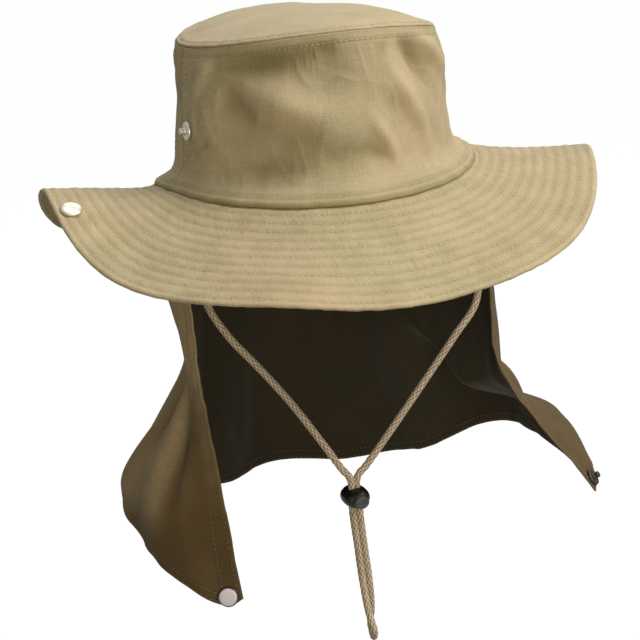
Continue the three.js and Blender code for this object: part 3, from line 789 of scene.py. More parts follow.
def carved(piece, cutters):
    """The piece with the cutters' shapes taken out of it."""
    for cutter in cutters:
        modifier = piece.modifiers.new("carve", "BOOLEAN")
        modifier.operation = "DIFFERENCE"
        modifier.solver = "EXACT"
        modifier.object = cutter
    graph = bpy.context.evaluated_depsgraph_get()
    mesh = bpy.data.meshes.new_from_object(piece.evaluated_get(graph))
    piece.modifiers.clear()
    piece.data = mesh
    for cutter in cutters:
        bpy.data.objects.remove(cutter)
    mesh.polygons.foreach_set("use_smooth", np.ones(len(mesh.polygons), dtype=bool))
    mesh.set_sharp_from_angle(angle=math.radians(32))
    return piece


def finished(piece, body, slot_name, *nodes):
    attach(piece, body)
    if nodes:
        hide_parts(*nodes)
    return piece


# Camera, at the photograph's place

CAMERA_AZIMUTH = -20.0
CAMERA_ELEVATION = 13.88
CAMERA_DISTANCE = 1000.0
CAMERA_FOCUS = 1795.0 / 640.0
CAMERA_AIM_RIGHT = -2.62
CAMERA_AIM_UP = -88.0
CAMERA_ROLL = -4.56
SENSOR = 36.0


def aimed(name, data, place, aim, roll=0.0):
    """A camera or light at a place in metres, which faces its aim and is rolled by an angle in degrees."""
    forward = unit(np.subtract(aim, place))
    level = unit(np.cross(forward, [0, 0, 1]))
    upright = np.cross(level, forward)
    roll = math.radians(roll)
    right = level * math.cos(roll) + upright * math.sin(roll)
    up = upright * math.cos(roll) - level * math.sin(roll)
    turn = Matrix(np.stack([right, up, -forward], axis=1).tolist())
    piece = placed(name, data)
    piece.matrix_world = Matrix.Translation(list(place)) @ turn.to_4x4()
    return piece


def photo_camera():
    azimuth = math.radians(CAMERA_AZIMUTH)
    elevation = math.radians(CAMERA_ELEVATION)
    back = np.array([math.sin(azimuth) * math.cos(elevation), -math.cos(azimuth) * math.cos(elevation),
                     math.sin(elevation)])
    right = np.array([math.cos(azimuth), math.sin(azimuth), 0.0])
    aim = right * CAMERA_AIM_RIGHT + np.cross(back, right) * CAMERA_AIM_UP
    data = bpy.data.cameras.new("camera")
    data.sensor_width = SENSOR
    data.lens = CAMERA_FOCUS * SENSOR
    data.clip_start = 0.05
    data.clip_end = 50.0
    bpy.context.scene.camera = aimed("camera", data, back * CAMERA_DISTANCE * MM, aim * MM, CAMERA_ROLL)


photo_camera()


# Chin cord

CORD_SIDES = 28
CORD_STEP = 0.45
PLAITS = 6
PLAIT_RELIEF = 0.34


def smooth_route(points, per_span):
    """The centripetal curve through the points that the solid follows."""
    points = np.array(points, float)
    first = 2 * points[0] - points[1]
    last = 2 * points[-1] - points[-2]
    padded = np.concatenate([[first], points, [last]])
    route = []
    for index in range(1, len(padded) - 2):
        before, start, end, after = padded[index - 1:index + 3]
        spans = [np.linalg.norm(b - a) ** 0.5 for a, b in ((before, start), (start, end), (end, after))]
        slope_in = ((start - before) / spans[0] - (end - before) / (spans[0] + spans[1])
                    + (end - start) / spans[1]) * spans[1]
        slope_out = ((end - start) / spans[1] - (after - start) / (spans[1] + spans[2])
                     + (after - end) / spans[2]) * spans[1]
        share = (np.arange(per_span) / per_span)[:, None]
        route.append(start + slope_in * share + (3 * (end - start) - 2 * slope_in - slope_out) * share ** 2
                     + (slope_in + slope_out - 2 * (end - start)) * share ** 3)
    return np.concatenate(route + [points[-1:]])


def chin_cord():
    fine = smooth_route(CORD_POINTS, 60)
    run = run_along(fine)
    length = run[-1]
    place = np.linspace(0, length, int(length / CORD_STEP))
    route = values_at(place, run, fine)
    tangent = unit(np.gradient(route, axis=0))
    side = np.cross(tangent[0], [0, 1, 0])
    sides = []
    for way in tangent:
        side = unit(side - way * np.dot(side, way))
        sides.append(side)
    sides = np.array(sides)
    others = np.cross(tangent, sides)
    turn = np.arange(CORD_SIDES) / CORD_SIDES
    pitch = math.pi * CORD_DIAMETER / PLAITS
    rise = place[:, None] / (2 * pitch)
    first = turn * PLAITS + rise
    second = turn * PLAITS - rise
    over = (np.floor(first) + np.floor(second)) % 2 == 0
    across_first = np.sin(np.pi * (first % 1))
    across_second = np.sin(np.pi * (second % 1))
    plait = lambda above, below: above ** 0.7 * (0.55 + 0.45 * below)
    relief = np.where(over, plait(across_first, across_second), plait(across_second, across_first))
    loose = 1 + uneven("cord_size", place, 0 * place)
    radius = loose[:, None] * (CORD_DIAMETER / 2 - PLAIT_RELIEF * 0.6 + PLAIT_RELIEF * relief)
    angle = 2 * np.pi * turn
    around = sides[:, None] * np.cos(angle)[None, :, None] + others[:, None] * np.sin(angle)[None, :, None]
    points = (route[:, None] + around * radius[..., None]).reshape(-1, 3)
    faces = grid_faces(len(place), CORD_SIDES, 0, True, True).tolist()
    faces.append(list(range(CORD_SIDES)))
    faces.append(list(range(len(points) - 1, len(points) - 1 - CORD_SIDES, -1)))
    weave = np.stack(np.broadcast_arrays(turn[None] * math.pi * CORD_DIAMETER, place[:, None]), axis=-1)
    # The plaits' relief is the cord's shade value, which paints shade between the plaits.
    cord = make_mesh("braided_chin_cord", points, faces, [cord_material("braided_cord")],
                     weave.reshape(-1, 2), relief.ravel())
    return finished(cord, "hat", "braided_cord", "chin_cord")


# Cord lock

LOCK_RINGS = 44
LOCK_STEPS = 64

# The button's face: the radius as a share of the button's, and how far each ring lies behind the foremost
BUTTON_FACE = [(0, 0.35), (0.42, 0.3), (0.62, 0.12), (0.72, 0), (0.84, 0.02), (0.94, 0.22), (1, 0.6)]


def adjust(piece, scale=(1, 1, 1), by=(0, 0, 0)):
    """Stretches a piece about the origin, and then moves it by a way in millimetres."""
    points = np.empty(len(piece.data.vertices) * 3)
    piece.data.vertices.foreach_get("co", points)
    points = points.reshape(-1, 3) * np.array(scale) + np.array(by) * MM
    piece.data.vertices.foreach_set("co", points.ravel())
    piece.data.update()


def lock_turned(name, profile, material, scale):
    piece = turned(name, profile, (0, 0, 0), (0, 1, 0), [material], steps=LOCK_STEPS)
    adjust(piece, scale)
    return piece


def oval_bar(name, half_width, half_height, start, end, material):
    profile = [(0, start), (1, start), (1, end), (0, end)]
    return lock_turned(name, profile, material, (half_width, 1, half_height))


def strand_slot(name, room_front, height, material):
    """An upright bar with rounded corners that takes both strands, with room for the button's way in."""
    half_width = STRAND_OFFSET + CORD_DIAMETER / 2 + SLIDE_GAP
    reach = CORD_DIAMETER / 2 + SLIDE_GAP
    corner = CORD_DIAMETER / 2
    outline = []
    for middle_x, middle_y, start in (
        (half_width - corner, reach - corner, 0),
        (-half_width + corner, reach - corner, 90),
        (-half_width + corner, -reach - room_front + corner, 180),
        (half_width - corner, -reach - room_front + corner, 270),
    ):
        for step in range(7):
            turn = math.radians(start + 15 * step)
            outline.append((middle_x + corner * math.cos(turn), middle_y + corner * math.sin(turn)))
    count = len(outline)
    points = [(x, y, z) for z in (-height / 2, height / 2) for x, y in outline]
    faces = [tuple(reversed(range(count))), tuple(range(count, 2 * count))]
    faces += [(i, (i + 1) % count, count + (i + 1) % count, count + i) for i in range(count)]
    return make_mesh(name, np.array(points), faces, [material])


def cord_lock():
    black = moulded_material("black_lock_plastic", linear(15, 17, 14), linear(34, 37, 32), 0.32)
    grey = moulded_material("grey_button_plastic", linear(66, 72, 67), linear(98, 104, 98), 0.34)
    reach = CORD_DIAMETER / 2 + SLIDE_GAP
    plunger_back = reach + PLUNGER_WALL
    plunger_front = -(reach + BUTTON_TRAVEL + PLUNGER_WALL)
    chamber = (LOCK_WIDTH / 2 - LOCK_WALL, LOCK_HEIGHT / 2 - LOCK_WALL)
    opening = BUTTON_DIAMETER / 2 + SLIDE_GAP
    lock_face = -LOCK_LENGTH / 2 * (1 - (opening / (LOCK_WIDTH / 2)) ** LOCK_POWER) ** (1 / LOCK_POWER)
    button_face = lock_face - BUTTON_TRAVEL - BUTTON_PROUD

    profile = []
    for ring in range(LOCK_RINGS + 1):
        turn = math.pi * (ring / LOCK_RINGS - 0.5)
        axial = math.copysign(abs(math.sin(turn)) ** (2 / LOCK_POWER), math.sin(turn))
        radial = 0 if ring % LOCK_RINGS == 0 else math.cos(turn) ** (2 / LOCK_POWER)
        profile.append((LOCK_WIDTH / 2 * radial, LOCK_LENGTH / 2 * axial))
    body = lock_turned("cord_lock_shell", profile, black, (1, 1, LOCK_HEIGHT / LOCK_WIDTH))
    chamber_ends = (plunger_front - SLIDE_GAP, plunger_back + BUTTON_TRAVEL + SLIDE_GAP)
    body = carved(body, [
        oval_bar("chamber_cut", *chamber, *chamber_ends, black),
        oval_bar("opening_cut", opening, chamber[1], -LOCK_LENGTH, 0, black),
        strand_slot("slot_cut", 0, 2 * LOCK_HEIGHT, black),
    ])
    adjust(body, by=LOCK_CENTRE)
    finished(body, "hat", "lock_plastic", "cord_lock_body")

    half_width = BUTTON_DIAMETER / 2
    wide = (chamber[0] - SLIDE_GAP) / half_width
    profile = [(radius, button_face + behind) for radius, behind in BUTTON_FACE]
    profile += [(1, plunger_front), (wide, plunger_front + 0.02), (wide, plunger_back), (0, plunger_back)]
    button = lock_turned("cord_lock_push_button", profile, grey, (half_width, 1, chamber[1] - SLIDE_GAP))
    button = carved(button, [strand_slot("button_cut", BUTTON_TRAVEL, 2 * LOCK_HEIGHT, grey)])
    adjust(button, by=LOCK_CENTRE)
    finished(button, "lock_button", "button_plastic", "cord_lock_button")


cord_lock()
chin_cord()


# Cloth

# Each cloth's colours: body, darker and lighter yarns, warm patches, and the painted shade colour that low
# shade values blend towards.
KHAKI = {"body": linear(184, 169, 133), "dark": linear(160, 146, 106), "light": linear(204, 190, 156),
         "warm": linear(196, 169, 138), "painted_shade_colour": linear(156, 141, 76)}
# The flap's outside: the khaki cloth made darker and browner, which is painted shade from the brim above it.
FLAP_OUTSIDE_PAINTED_SHADE = {"body": linear(150, 130, 98), "dark": linear(122, 104, 74), "light": linear(172, 152, 120),
                "warm": linear(158, 127, 98), "painted_shade_colour": linear(124, 98, 56)}
# The flap's inside: the khaki cloth darkened to a near-black olive, which is painted shade.
FLAP_INSIDE_PAINTED_SHADE = {"body": linear(62, 54, 36), "dark": linear(49, 42, 28), "light": linear(75, 66, 46),
               "warm": linear(65, 51, 34), "painted_shade_colour": linear(46, 38, 24)}

crown_khaki = cloth_material("crown_khaki_cotton", **KHAKI)
tip_khaki = cloth_material("tip_khaki_cotton", **KHAKI)
brim_khaki = cloth_material("brim_khaki_cotton", **KHAKI)
flap_outer_painted_shade = cloth_material("flap_cotton_outside_painted_shade", **FLAP_OUTSIDE_PAINTED_SHADE)
flap_inner_painted_shade = cloth_material("flap_cotton_inside_painted_shade", **FLAP_INSIDE_PAINTED_SHADE)
pale_thread = thread_material("pale_thread", linear(216, 205, 172), linear(176, 162, 126))
flap_thread = thread_material("flap_thread", linear(142, 124, 92), linear(104, 88, 62))

# Folds of the crown wall that the solid leaves out: angle and share of the height at the start, middle and
# end, then width and height in millimetres
CROWN_FOLDS = [
    (-62, 0.91, -42, 0.86, -16, 0.9, 5.5, -4.6),
    (-53, 0.74, -34, 0.61, -17, 0.48, 6.5, 3.2),
    (-61, 0.74, -56, 0.61, -44, 0.51, 5, -4.6),
    (-44, 0.42, -32, 0.34, -18, 0.3, 7, -1.5),
    (-64.5, 0.92, -71, 0.78, -77.5, 0.6, 2.4, 2.2),
    (-77.5, 0.58, -77.5, 0.5, -75.5, 0.34, 2.2, 1.4),
    (-61.5, 0.74, -62.5, 0.67, -63.5, 0.58, 1.8, 1.2),
    (-70.5, 0.27, -76, 0.18, -82, 0.1, 2, 1.2),
    (-76.5, 0.29, -81, 0.21, -86, 0.13, 1.7, 0.9),
    (-71, 0.39, -70, 0.35, -69, 0.3, 2.6, -1.8),
    (-59, 0.16, -43, 0.19, -30, 0.18, 4.5, -2.4),
    (18, 0.95, 29, 0.79, 41, 0.58, 4.4, -4.0),
    (33, 0.97, 44, 0.8, 52, 0.63, 3, 2.4),
    (5, 0.87, 9, 0.86, 13, 0.85, 4, -1.8),
    (-20, 0.93, -15, 0.93, -10, 0.93, 3.5, -1.4),
    (12, 0.8, 20, 0.52, 33, 0.16, 3.6, 3.0),
    (10, 0.56, 18, 0.44, 28, 0.3, 5, 1.6),
    (2, 0.48, 8, 0.34, 14, 0.11, 2.8, 2.1),
    (-10, 0.26, 3, 0.24, 12, 0.18, 4, -2.2),
    (-21, 0.24, -13, 0.22, -6, 0.21, 4, -1.5),
    (36, 0.48, 44, 0.25, 41, 0.03, 2.2, 1.3),
    (52, 0.85, 60, 0.6, 58, 0.35, 3.4, -1.8),
    (70, 0.7, 74, 0.45, 68, 0.2, 3, 1.6),
    (96, 0.9, 104, 0.6, 98, 0.25, 3.6, -2.0),
    (112, 0.75, 128, 0.6, 142, 0.62, 5, 2.0),
    (150, 0.35, 164, 0.5, 184, 0.46, 5, -2.2),
    (168, 0.85, 180, 0.78, 198, 0.82, 5, -2.0),
    (205, 0.2, 216, 0.4, 212, 0.66, 3.4, 1.9),
    (226, 0.7, 238, 0.55, 236, 0.25, 3.4, -2.0),
    (252, 0.92, 256, 0.65, 252, 0.3, 3.6, -2.2),
    (262, 0.88, 265, 0.6, 263, 0.3, 2.2, 1.3),
]
CROWN_MM_PER_DEGREE = 1.42
CROWN_FOOT = -0.016
CROWN_TOP = 1.009
CROWN_FOOT_STITCH = 0.03
CROWN_TOP_STITCH = 0.952
CROWN_STITCH_LIFTS = ((CROWN_FOOT_STITCH, 0.78), (CROWN_TOP_STITCH, 0.5))
FELLED_SEAM = 6.5
SEAM_ROWS = (1.2, FELLED_SEAM - 1)
SEAM_STITCH_LIFT = 0.98
INSIDE_SHADE = 0.42
GROOVE_WIDTH = 0.5
TIP_RADIUS = (TIP_HALF_WIDTH + TIP_HALF_DEPTH) / 2
TIP_STITCH = 0.962
TIP_STITCH_LIFT = 0.72
BRIM_ROWS = np.linspace(0.075, 0.945, 11)
BRIM_STITCH_LIFT = 0.93


def line_on(surface, first, second, lift, smooth=None):
    """Points a little above a surface along a line on it, and the way out of the cloth on their side."""
    out = facing(smooth or surface, first, second)
    return surface(first, second) + out * lift, out * np.sign(lift)


def crown_relief(angle, up):
    """Folds, creases and puckers of the crown wall, out from it, in millimetres."""
    across = ((angle + 100) % 360 - 100) * CROWN_MM_PER_DEGREE
    tall = up * CROWN_HEIGHT
    push = fold_lines(across, tall, CROWN_FOLDS, (CROWN_MM_PER_DEGREE, CROWN_HEIGHT))
    push += uneven("crown_swell", across, tall) + uneven("crown_ripple", across, tall)
    push += 0.5 * (1 - np.abs(uneven("crown_crease", across + 0.3 * tall, tall))) ** 6
    push *= swell(0, 0.12, 0.9, 1, up)
    push += swell(0.84, 0.97, 0.985, 1, up) * uneven("crown_top_pucker", across, tall)
    return push + smooth_fall(0.03, 0.2, up) * uneven("crown_foot_pucker", across, tall)


def crown_cloth(angle, up):
    return crown_point(angle, up) + head_seam(angle)[1] * crown_relief(angle, up)[..., None]


def crown_panel(name, start, end, columns, rows, lapped, node):
    surface = lambda first, second: crown_cloth(start + (end - start) * first, second)
    first = np.linspace(0, 1, columns)
    second = np.concatenate([[CROWN_FOOT, CROWN_FOOT + 0.004, -0.006, 0.004, 0.014],
                             np.linspace(0.026, 0.985, rows), [0.995, CROWN_TOP]])
    across, up = np.meshgrid(first, second)
    to_seam = np.minimum(across, 1 - across) * (end - start) * CROWN_MM_PER_DEGREE
    fold = 0.35 * smooth_fall(0.06, 0.075, up)
    groove = 0.35 * bump((up - CROWN_FOOT_STITCH) * CROWN_HEIGHT, GROOVE_WIDTH)
    groove += 0.3 * bump((up - CROWN_TOP_STITCH) * CROWN_HEIGHT, GROOVE_WIDTH)
    if lapped:
        fold += 0.5 * smooth_fall(FELLED_SEAM - 0.5, FELLED_SEAM + 0.5, to_seam)
        groove += 0.3 * sum(bump(to_seam - row, GROOVE_WIDTH) for row in SEAM_ROWS)
    half_in = np.full_like(across, CROWN_WALL / 2)
    half_out = rounded_edge((up - CROWN_FOOT) * CROWN_HEIGHT * 1.5, 1) * (half_in + fold - groove)
    # Painted shade in the stitch grooves, along the foot under the crown's edge at the brim, and at the top
    # seam; painted light on the folds' ridges and painted shade in their hollows.
    shade = 0.5 - 0.14 * np.clip(groove, 0, 0.4) / 0.35 + uneven("crown_shade", across, up)
    shade -= 0.2 * smooth_fall(0, 0.012, up) + 0.05 * smooth_rise(0.985, 1, up)
    shade += 0.1 * np.clip(crown_relief(start + (end - start) * across, up) / 2, -2.2, 1.2)
    piece = shell(name, surface, first, second, half_out, half_in, [crown_khaki],
                  cloth_measure(surface(across, up)), shade, np.full_like(shade, INSIDE_SHADE))
    finished(piece, "hat", "crown_cloth", node)


def crown():
    gap = math.degrees(SEAM_GAP / 2 / (TIP_HALF_WIDTH - CROWN_WALL))
    front = SIDE_SEAM_ANGLE - gap
    back = SIDE_SEAM_ANGLE + gap
    crown_panel("crown_front_cloth", -front, front, 300, 84, True, "crown_front")
    crown_panel("crown_back_cloth", back, 360 - back, 260, 72, False, "crown_back")
    surface = lambda first, second: crown_cloth(360 * first, second)
    around = np.linspace(0, 1, 1400)
    rows = [line_on(surface, around, np.full_like(around, up), lift) for up, lift in CROWN_STITCH_LIFTS]
    up = np.linspace(0.045, 0.94, 160)
    for side in (-1, 1):
        for inset in SEAM_ROWS:
            angle = side * (front - inset / CROWN_MM_PER_DEGREE)
            rows.append(line_on(surface, np.full_like(up, angle / 360), up, SEAM_STITCH_LIFT))
    stitch_rows("crown_stitches", rows, pale_thread, "crown_cloth")


def tip_cloth(angle, share):
    point = tip_point(angle, share)
    x = point[..., 0]
    y = point[..., 1]
    rise = (uneven("tip_swell", x, y) + uneven("tip_ripple", x, y)) * smooth_fall(0.82, 1, share)
    point[..., 2] += rise + swell(0.86, 0.97, 0.985, 1, share) * uneven("tip_pucker", angle, share)
    return point


def crown_tip():
    surface = lambda first, second: tip_cloth(-360 * first, second)
    first = np.arange(300) / 300
    second = np.concatenate([np.linspace(0.015, 0.93, 44), np.linspace(0.94, 0.985, 10), [0.99, 0.995, 1.0]])
    share = np.meshgrid(first, second)[1]
    to_edge = (1 - share) * TIP_RADIUS
    edge = rounded_edge(to_edge, 1)
    groove = 0.3 * bump((share - TIP_STITCH) * 75, GROOVE_WIDTH)
    half_out = edge * (CROWN_WALL / 2 + 0.25 * smooth_fall(6, 7, to_edge) - groove)
    # Painted shade in the stitch groove and at the rim, where the tip meets the wall.
    shade = 0.53 - 0.12 * np.clip(groove, 0, 0.3) / 0.3 - 0.1 * smooth_rise(0.992, 1, share)
    piece = shell("crown_tip_cloth", surface, first, second, half_out, edge * CROWN_WALL / 2, [tip_khaki],
                  None, shade, np.full_like(shade, INSIDE_SHADE), closed=True, peaked=True)
    finished(piece, "hat", "tip_cloth", "crown_tip")
    around = np.linspace(0, 1, 1300)
    row = line_on(surface, around, np.full_like(around, TIP_STITCH), TIP_STITCH_LIFT)
    stitch_rows("tip_stitches", [row], pale_thread, "tip_cloth")


def brim_cloth(angle, share, puckered=True):
    """The brim with its slight waves and the puckers of its stitched rows. Both fade out at the middle of the
    back, where the turn closes."""
    point = brim_point(angle, share)
    around = (angle + 180) % 360 - 180
    from_back = 180 - np.abs(around)
    along = around * (1.6 + 1.1 * share)
    reach = share * BRIM_WIDTH
    rise = uneven("brim_wave", along, reach) * smooth_rise(0, 0.4, share) * smooth_rise(1, 15, from_back)
    if puckered:
        pucker = uneven("brim_pucker", along, reach) + uneven("brim_ripple", along, reach)
        rise = rise + pucker * smooth_rise(0, 0.1, share) * smooth_rise(1, 5, from_back)
    point[..., 2] += rise
    return point


def brim():
    surface = lambda first, second: brim_cloth(360 * first, 1 - second)
    smooth = lambda first, second: brim_cloth(360 * first, 1 - second, False)
    first = np.arange(600) / 600
    second = np.concatenate([[0, 0.003, 0.008, 0.014, 0.022], np.linspace(0.03, 1, 66)])
    across, inward = np.meshgrid(first, second)
    share = 1 - inward
    groove = sum(bump((share - row) * BRIM_WIDTH, 0.75) for row in BRIM_ROWS)
    half = BRIM_WALL / 2 + 0.12 - 0.42 * groove + uneven("brim_puff", across, share) * (1 - groove)
    half = half + 0.25 * smooth_rise(0.955, 0.97, share)
    half = rounded_edge(inward * BRIM_WIDTH, 1.3) / 1.3 * half
    # Painted shade in the stitch channels and next to the crown, a paler outer edge, and painted shade over
    # the whole underside.
    shade = 0.5 - 0.1 * groove + 0.05 * smooth_rise(0.96, 0.985, share) - 0.1 * smooth_fall(0, 0.04, share)
    shade = shade + uneven("brim_shade", across, share)
    piece = shell("brim_cloth", surface, first, second, half, half, [brim_khaki],
                  surface(across, inward)[..., :2], shade, shade - 0.04, closed=True, smooth=smooth)
    finished(piece, "hat", "brim_cloth", "brim")
    around = np.linspace(0, 1, 2000)
    for name, side in (("brim_stitches_above", 1), ("brim_stitches_below", -1)):
        rows = [line_on(surface, around, np.full_like(around, 1 - row), side * BRIM_STITCH_LIFT, smooth)
                for row in BRIM_ROWS]
        stitch_rows(name, rows, pale_thread, "brim_cloth")


# Folds of the flap that the solid leaves out, as places round and down it, then width and height
FLAP_CREASES = [
    (0.05, 0.4, 0.058, 0.55, 0.06, 0.8, 3.2, -1.6),
    (0.09, 0.5, 0.1, 0.65, 0.12, 0.85, 4, 1.6),
    (0.13, 0.45, 0.135, 0.62, 0.155, 0.85, 3.5, -1.4),
    (0.03, 0.62, 0.045, 0.74, 0.04, 0.88, 3, 1.0),
    (0.06, 0.15, 0.07, 0.28, 0.05, 0.4, 2.6, 1.2),
    (0.2, 0.5, 0.2, 0.7, 0.215, 0.95, 5, 1.5),
    (0.29, 0.4, 0.295, 0.7, 0.3, 0.98, 4, -1.5),
    (0.37, 0.3, 0.375, 0.6, 0.37, 0.98, 5, 1.6),
    (0.46, 0.35, 0.455, 0.7, 0.46, 0.98, 4, -1.5),
    (0.54, 0.4, 0.545, 0.7, 0.545, 0.98, 5, 1.4),
    (0.62, 0.3, 0.625, 0.6, 0.62, 0.98, 4, -1.5),
    (0.7, 0.4, 0.7, 0.7, 0.71, 0.98, 5, 1.5),
    (0.79, 0.35, 0.785, 0.6, 0.79, 0.95, 4, -1.4),
    (0.88, 0.5, 0.885, 0.7, 0.875, 0.9, 4, 1.4),
    (0.93, 0.55, 0.925, 0.7, 0.93, 0.9, 3.4, -1.3),
]
FLAP_ROUND = 470.0
FLAP_EDGE = 0.003
HEM_WIDTH = 8.0
HEM_ROWS = (6.6, 1.6)
FLAP_STITCH_LIFTS = (0.62, -0.88)


def hem_distance(around, down):
    return np.minimum(np.minimum(around, 1 - around) * FLAP_ROUND, (1 - down) * FLAP_DROP)


def flap_relief(around, down):
    """Folds, swells and gathers of the flap, out from it, in millimetres."""
    across = around * FLAP_ROUND
    tall = down * FLAP_DROP
    push = fold_lines(across, tall, FLAP_CREASES, (FLAP_ROUND, FLAP_DROP))
    push += uneven("flap_swell", across, tall) + uneven("flap_ripple", across, tall)
    push *= smooth_rise(0.02, 0.2, down)
    push += swell(0, 0.03, 0.05, 0.22, down) * uneven("flap_gather", across, tall)
    return push + smooth_fall(5, 16, hem_distance(around, down)) * uneven("flap_hem_pucker", across, tall)


def flap_cloth(around, down):
    out = facing(flap_point, around, down)
    return flap_point(around, down) + out * flap_relief(around, down)[..., None]


def flap():
    fine = np.array([0, 0.18, 0.45, 1.0]) * FLAP_EDGE
    first = np.concatenate([fine, np.linspace(FLAP_EDGE * 2, 1 - FLAP_EDGE * 2, 330), 1 - fine[::-1]])
    second = np.concatenate([np.linspace(0, 0.985, 118), [0.99, 0.994, 0.9975, 1.0]])
    across, down = np.meshgrid(first, second)
    middle = flap_cloth(across, down)
    to_hem = hem_distance(across, down)
    hem = smooth_fall(HEM_WIDTH - 0.4, HEM_WIDTH + 0.6, to_hem)
    groove = bump(to_hem - HEM_ROWS[0], 0.6) + 0.8 * bump(to_hem - HEM_ROWS[1], 0.5)
    edge = rounded_edge(to_hem, 0.9) / 0.9
    half_out = edge * (FLAP_WALL / 2 + 0.12 * hem - 0.22 * groove)
    half_in = edge * (FLAP_WALL / 2 + 0.45 * hem - 0.22 * groove)
    # Painted shade in the hem's stitch grooves, and a paler edge.
    shade_in = 0.5 - 0.1 * groove + 0.1 * smooth_fall(0.5, 2.5, to_hem) + uneven("flap_shade", across, down)
    # Painted light and shade on the flap's outside: painted shade on its lower lobe, front strip and right
    # wing, painted light on its upper strip, middle lobe and the front hem, and painted light and shade on
    # its folds.
    shaded_low_lobe = smooth_rise(145, 200, -middle[..., 2]) * smooth_fall(0.3, 0.4, across)
    shaded_front_strip = smooth_fall(0.05, 0.068, across) * (1 - shaded_low_lobe) * smooth_rise(0.42, 0.54, down)
    lit_upper_strip = smooth_fall(0.05, 0.07, across) * smooth_fall(0.38, 0.48, down)
    lit_mid_lobe = swell(0.058, 0.075, 0.25, 0.35, across) * (1 - shaded_low_lobe)
    shaded_right_wing = smooth_rise(0.7, 0.84, across)
    shade = shade_in + 0.34 * lit_mid_lobe - 0.45 * shaded_low_lobe - 0.3 * shaded_front_strip + 0.3 * lit_upper_strip
    shade = shade - 0.36 * shaded_right_wing + 0.1 * hem * shaded_front_strip
    shade = shade + 0.08 * np.clip(flap_relief(across, down) / 1.5, -1.5, 1.5)
    piece = shell("flap_cloth", flap_cloth, first, second, half_out, half_in, [flap_outer_painted_shade, flap_inner_painted_shade],
                  cloth_measure(middle), shade, shade_in)
    rows = []
    for inset in HEM_ROWS:
        side = inset / FLAP_ROUND
        foot = 1 - inset / FLAP_DROP
        low = np.linspace(side, 1 - side, 1500)
        fall = np.linspace(0.01, foot, 400)
        lines = ((low, np.full_like(low, foot)), (np.full_like(fall, side), fall),
                 (np.full_like(fall, 1 - side), fall))
        rows += [line_on(flap_cloth, *line, lift) for line in lines for lift in FLAP_STITCH_LIFTS]
    stitches = stitch_rows("flap_stitches", rows, flap_thread, "flap_cloth")
    finished(piece, "hat", "flap_cloth", "flap")


# Snaps: each half's radius and height pairs

BRIM_SOCKET = [(0, -0.9), (5.2, -0.9), (5.6, 0.1), (5.7, 0.55), (5.55, 1.0), (5.1, 1.36), (4.4, 1.6),
               (3.6, 1.76), (2.4, 1.9), (1.2, 1.97), (0, 2.0)]
STUD = [(0, -0.9), (5.1, -0.9), (5.2, 0.3), (4.95, 0.75), (4.4, 1.0), (3.4, 1.05), (2.3, 1.1), (1.8, 1.35),
        (1.62, 1.9), (1.62, 2.5), (1.9, 3.0), (1.95, 3.5), (1.75, 4.0), (1.2, 4.28), (0, 4.35)]
FLAP_CAP = [(0, -0.8), (5.3, -0.8), (5.62, 0.2), (5.7, 0.8), (5.55, 1.35), (5.2, 1.66), (4.95, 1.62),
            (4.85, 1.42), (4.7, 1.5), (3, 1.6), (0, 1.64)]
FLAP_CAP_BANDS = [0] * 7 + [1] * 3
BACK_CAP = [(0, -0.4), (4.6, -0.4), (4.75, 0.3), (4.6, 0.75), (4.1, 1.05), (2.6, 1.2), (0, 1.25)]
SMALL_BACK = [(0, -0.4), (3.2, -0.4), (3.35, 0.25), (3.2, 0.65), (2.8, 0.9), (1.8, 1.05), (0, 1.1)]
SMALL_BACK_LIFT = 0.2


def snap_half(name, profile, surface, place, lift, materials, slot_name, *nodes, bands=None):
    """Half of a snap at a place on a surface. A lift below zero puts it on the far side."""
    first, second = (np.array(value) for value in place)
    out = facing(surface, first, second)
    centre = surface(first, second) + out * lift
    finished(turned(name, profile, centre, out * np.sign(lift), materials, bands), "hat", slot_name, *nodes)


def snaps():
    bright = [metal_material("plated_snap_metal", linear(226, 222, 208), linear(200, 195, 176))]
    aged = [metal_material("aged_snap_metal", linear(96, 88, 80), linear(58, 50, 44))]
    enamel = [moulded_material("pale_snap_enamel", linear(232, 220, 228), linear(216, 204, 210), 0.35, 0.2)]
    on_brim = (lambda first, second: brim_point(360 * first, 1 - second),
               (BRIM_SNAP_PLACE[0] / 360, 1 - BRIM_SNAP_PLACE[1]))
    on_crown = (lambda first, second: crown_point(360 * first, second),
                (CROWN_SNAP_PLACE[0] / 360, CROWN_SNAP_PLACE[1]))
    at_cap = (flap_point, FLAP_CAP_PLACE)
    at_stud = (flap_point, FLAP_STUD_PLACE)
    brim_lift, crown_lift, flap_lift = (wall / 2 for wall in (BRIM_WALL, CROWN_WALL, FLAP_WALL))
    snap_half("brim_snap_socket", BRIM_SOCKET, *on_brim, brim_lift + SNAP_SEAT, bright, "snap_metal",
              "brim_snap")
    snap_half("brim_snap_back", SMALL_BACK, *on_brim, -brim_lift - SMALL_BACK_LIFT, bright, "snap_metal")
    snap_half("crown_snap_stud", STUD, *on_crown, crown_lift + SNAP_SEAT, bright, "snap_metal", "crown_snap")
    snap_half("flap_snap_cap_disc", FLAP_CAP, *at_cap, flap_lift + SNAP_SEAT, aged + enamel,
              "flap_snap_metal", "flap_snap_cap", bands=FLAP_CAP_BANDS)
    snap_half("flap_cap_back", BACK_CAP, *at_cap, -flap_lift, aged, "flap_snap_metal")
    snap_half("flap_snap_stud_post", STUD, *at_stud, flap_lift + SNAP_SEAT, aged, "flap_snap_metal",
              "flap_snap_stud")
    snap_half("flap_stud_back", BACK_CAP, *at_stud, -flap_lift, aged, "flap_snap_metal")


crown()
crown_tip()
brim()
flap()
snaps()


# Floor, light and background

FLOOR_HEIGHT = -550.0
FLOOR_HALF = 20000.0

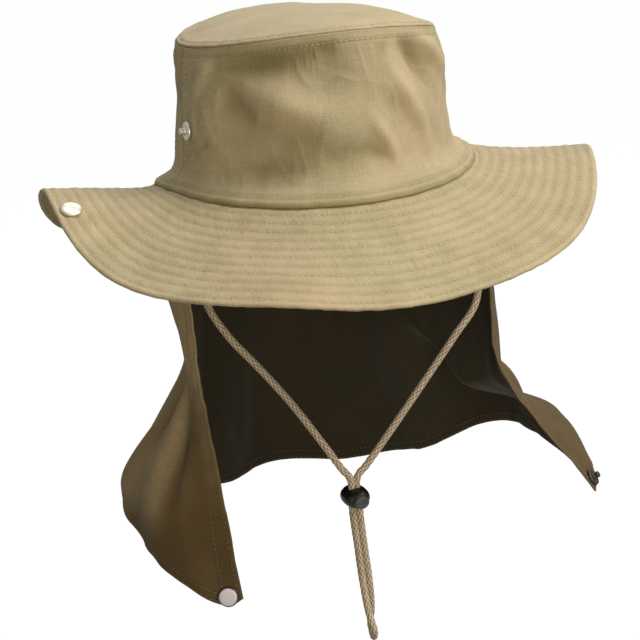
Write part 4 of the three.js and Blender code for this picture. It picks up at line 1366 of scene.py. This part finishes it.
# Lights: place and size in metres, power and colour
LIGHTS = {
    "key": ((0.95, -0.86, 1.2), 0.9, 24, (1, 0.985, 0.96)),
    "top": ((0.1, 0.25, 1.7), 1.2, 9, (1, 1, 1)),
    "front_fill": ((-0.5, -1.9, 0.15), 1.2, 12, (1, 0.95, 0.8)),
    "back_fill": ((0.7, 1.7, 0.9), 1.2, 10, (1, 1, 1)),
}
LIGHT_AIM = (0, 0, -0.05)


def floor():
    pale = bpy.data.materials.new("pale_floor")
    pale.use_nodes = True
    shader = pale.node_tree.nodes["Principled BSDF"]
    for socket, value in (
        ("Base Color", (0.05, 0.05, 0.05, 1)),
        ("Roughness", 0.9),
        ("Specular IOR Level", 0.0),
        ("Emission Color", (1, 1, 1, 1)),
        ("Emission Strength", 0.98),
    ):
        shader.inputs[socket].default_value = value
    sides = ((-1, -1), (1, -1), (1, 1), (-1, 1))
    corners = [(FLOOR_HALF * x, FLOOR_HALF * y, FLOOR_HEIGHT) for x, y in sides]
    plane = make_mesh("floor", corners, [(0, 1, 2, 3)], [pale])
    plane.visible_diffuse = False
    plane.visible_glossy = False


def area_lights():
    for name, (place, size, power, colour) in LIGHTS.items():
        light = bpy.data.lights.new(name, "AREA")
        light.shape = "DISK"
        light.size = size
        light.energy = power
        light.color = colour
        aimed(name, light, place, LIGHT_AIM)


def world():
    """A white background for the camera, and a dimmer even light on the hat."""
    sky = bpy.data.worlds.new("studio")
    bpy.context.scene.world = sky
    sky.use_nodes = True
    nodes = sky.node_tree.nodes
    links = sky.node_tree.links
    nodes.clear()

    def background(colour, strength):
        node = nodes.new("ShaderNodeBackground")
        node.inputs["Color"].default_value = colour
        node.inputs["Strength"].default_value = strength
        return node.outputs[0]

    def mixed(ray, first, second):
        node = nodes.new("ShaderNodeMixShader")
        for socket, link in zip(node.inputs, (path.outputs[ray], first, second)):
            links.new(link, socket)
        return node.outputs[0]

    path = nodes.new("ShaderNodeLightPath")
    seen = background((1, 1, 1, 1), 1.0)
    fill = background((1, 0.95, 0.8, 1), 0.16)
    mirrored = background((1, 1, 1, 1), 0.45)
    on_hat = mixed("Is Glossy Ray", fill, mirrored)
    output = nodes.new("ShaderNodeOutputWorld")
    links.new(mixed("Is Camera Ray", on_hat, seen), output.inputs["Surface"])


floor()
world()
area_lights()
bpy.context.scene.view_settings.view_transform = "Standard"
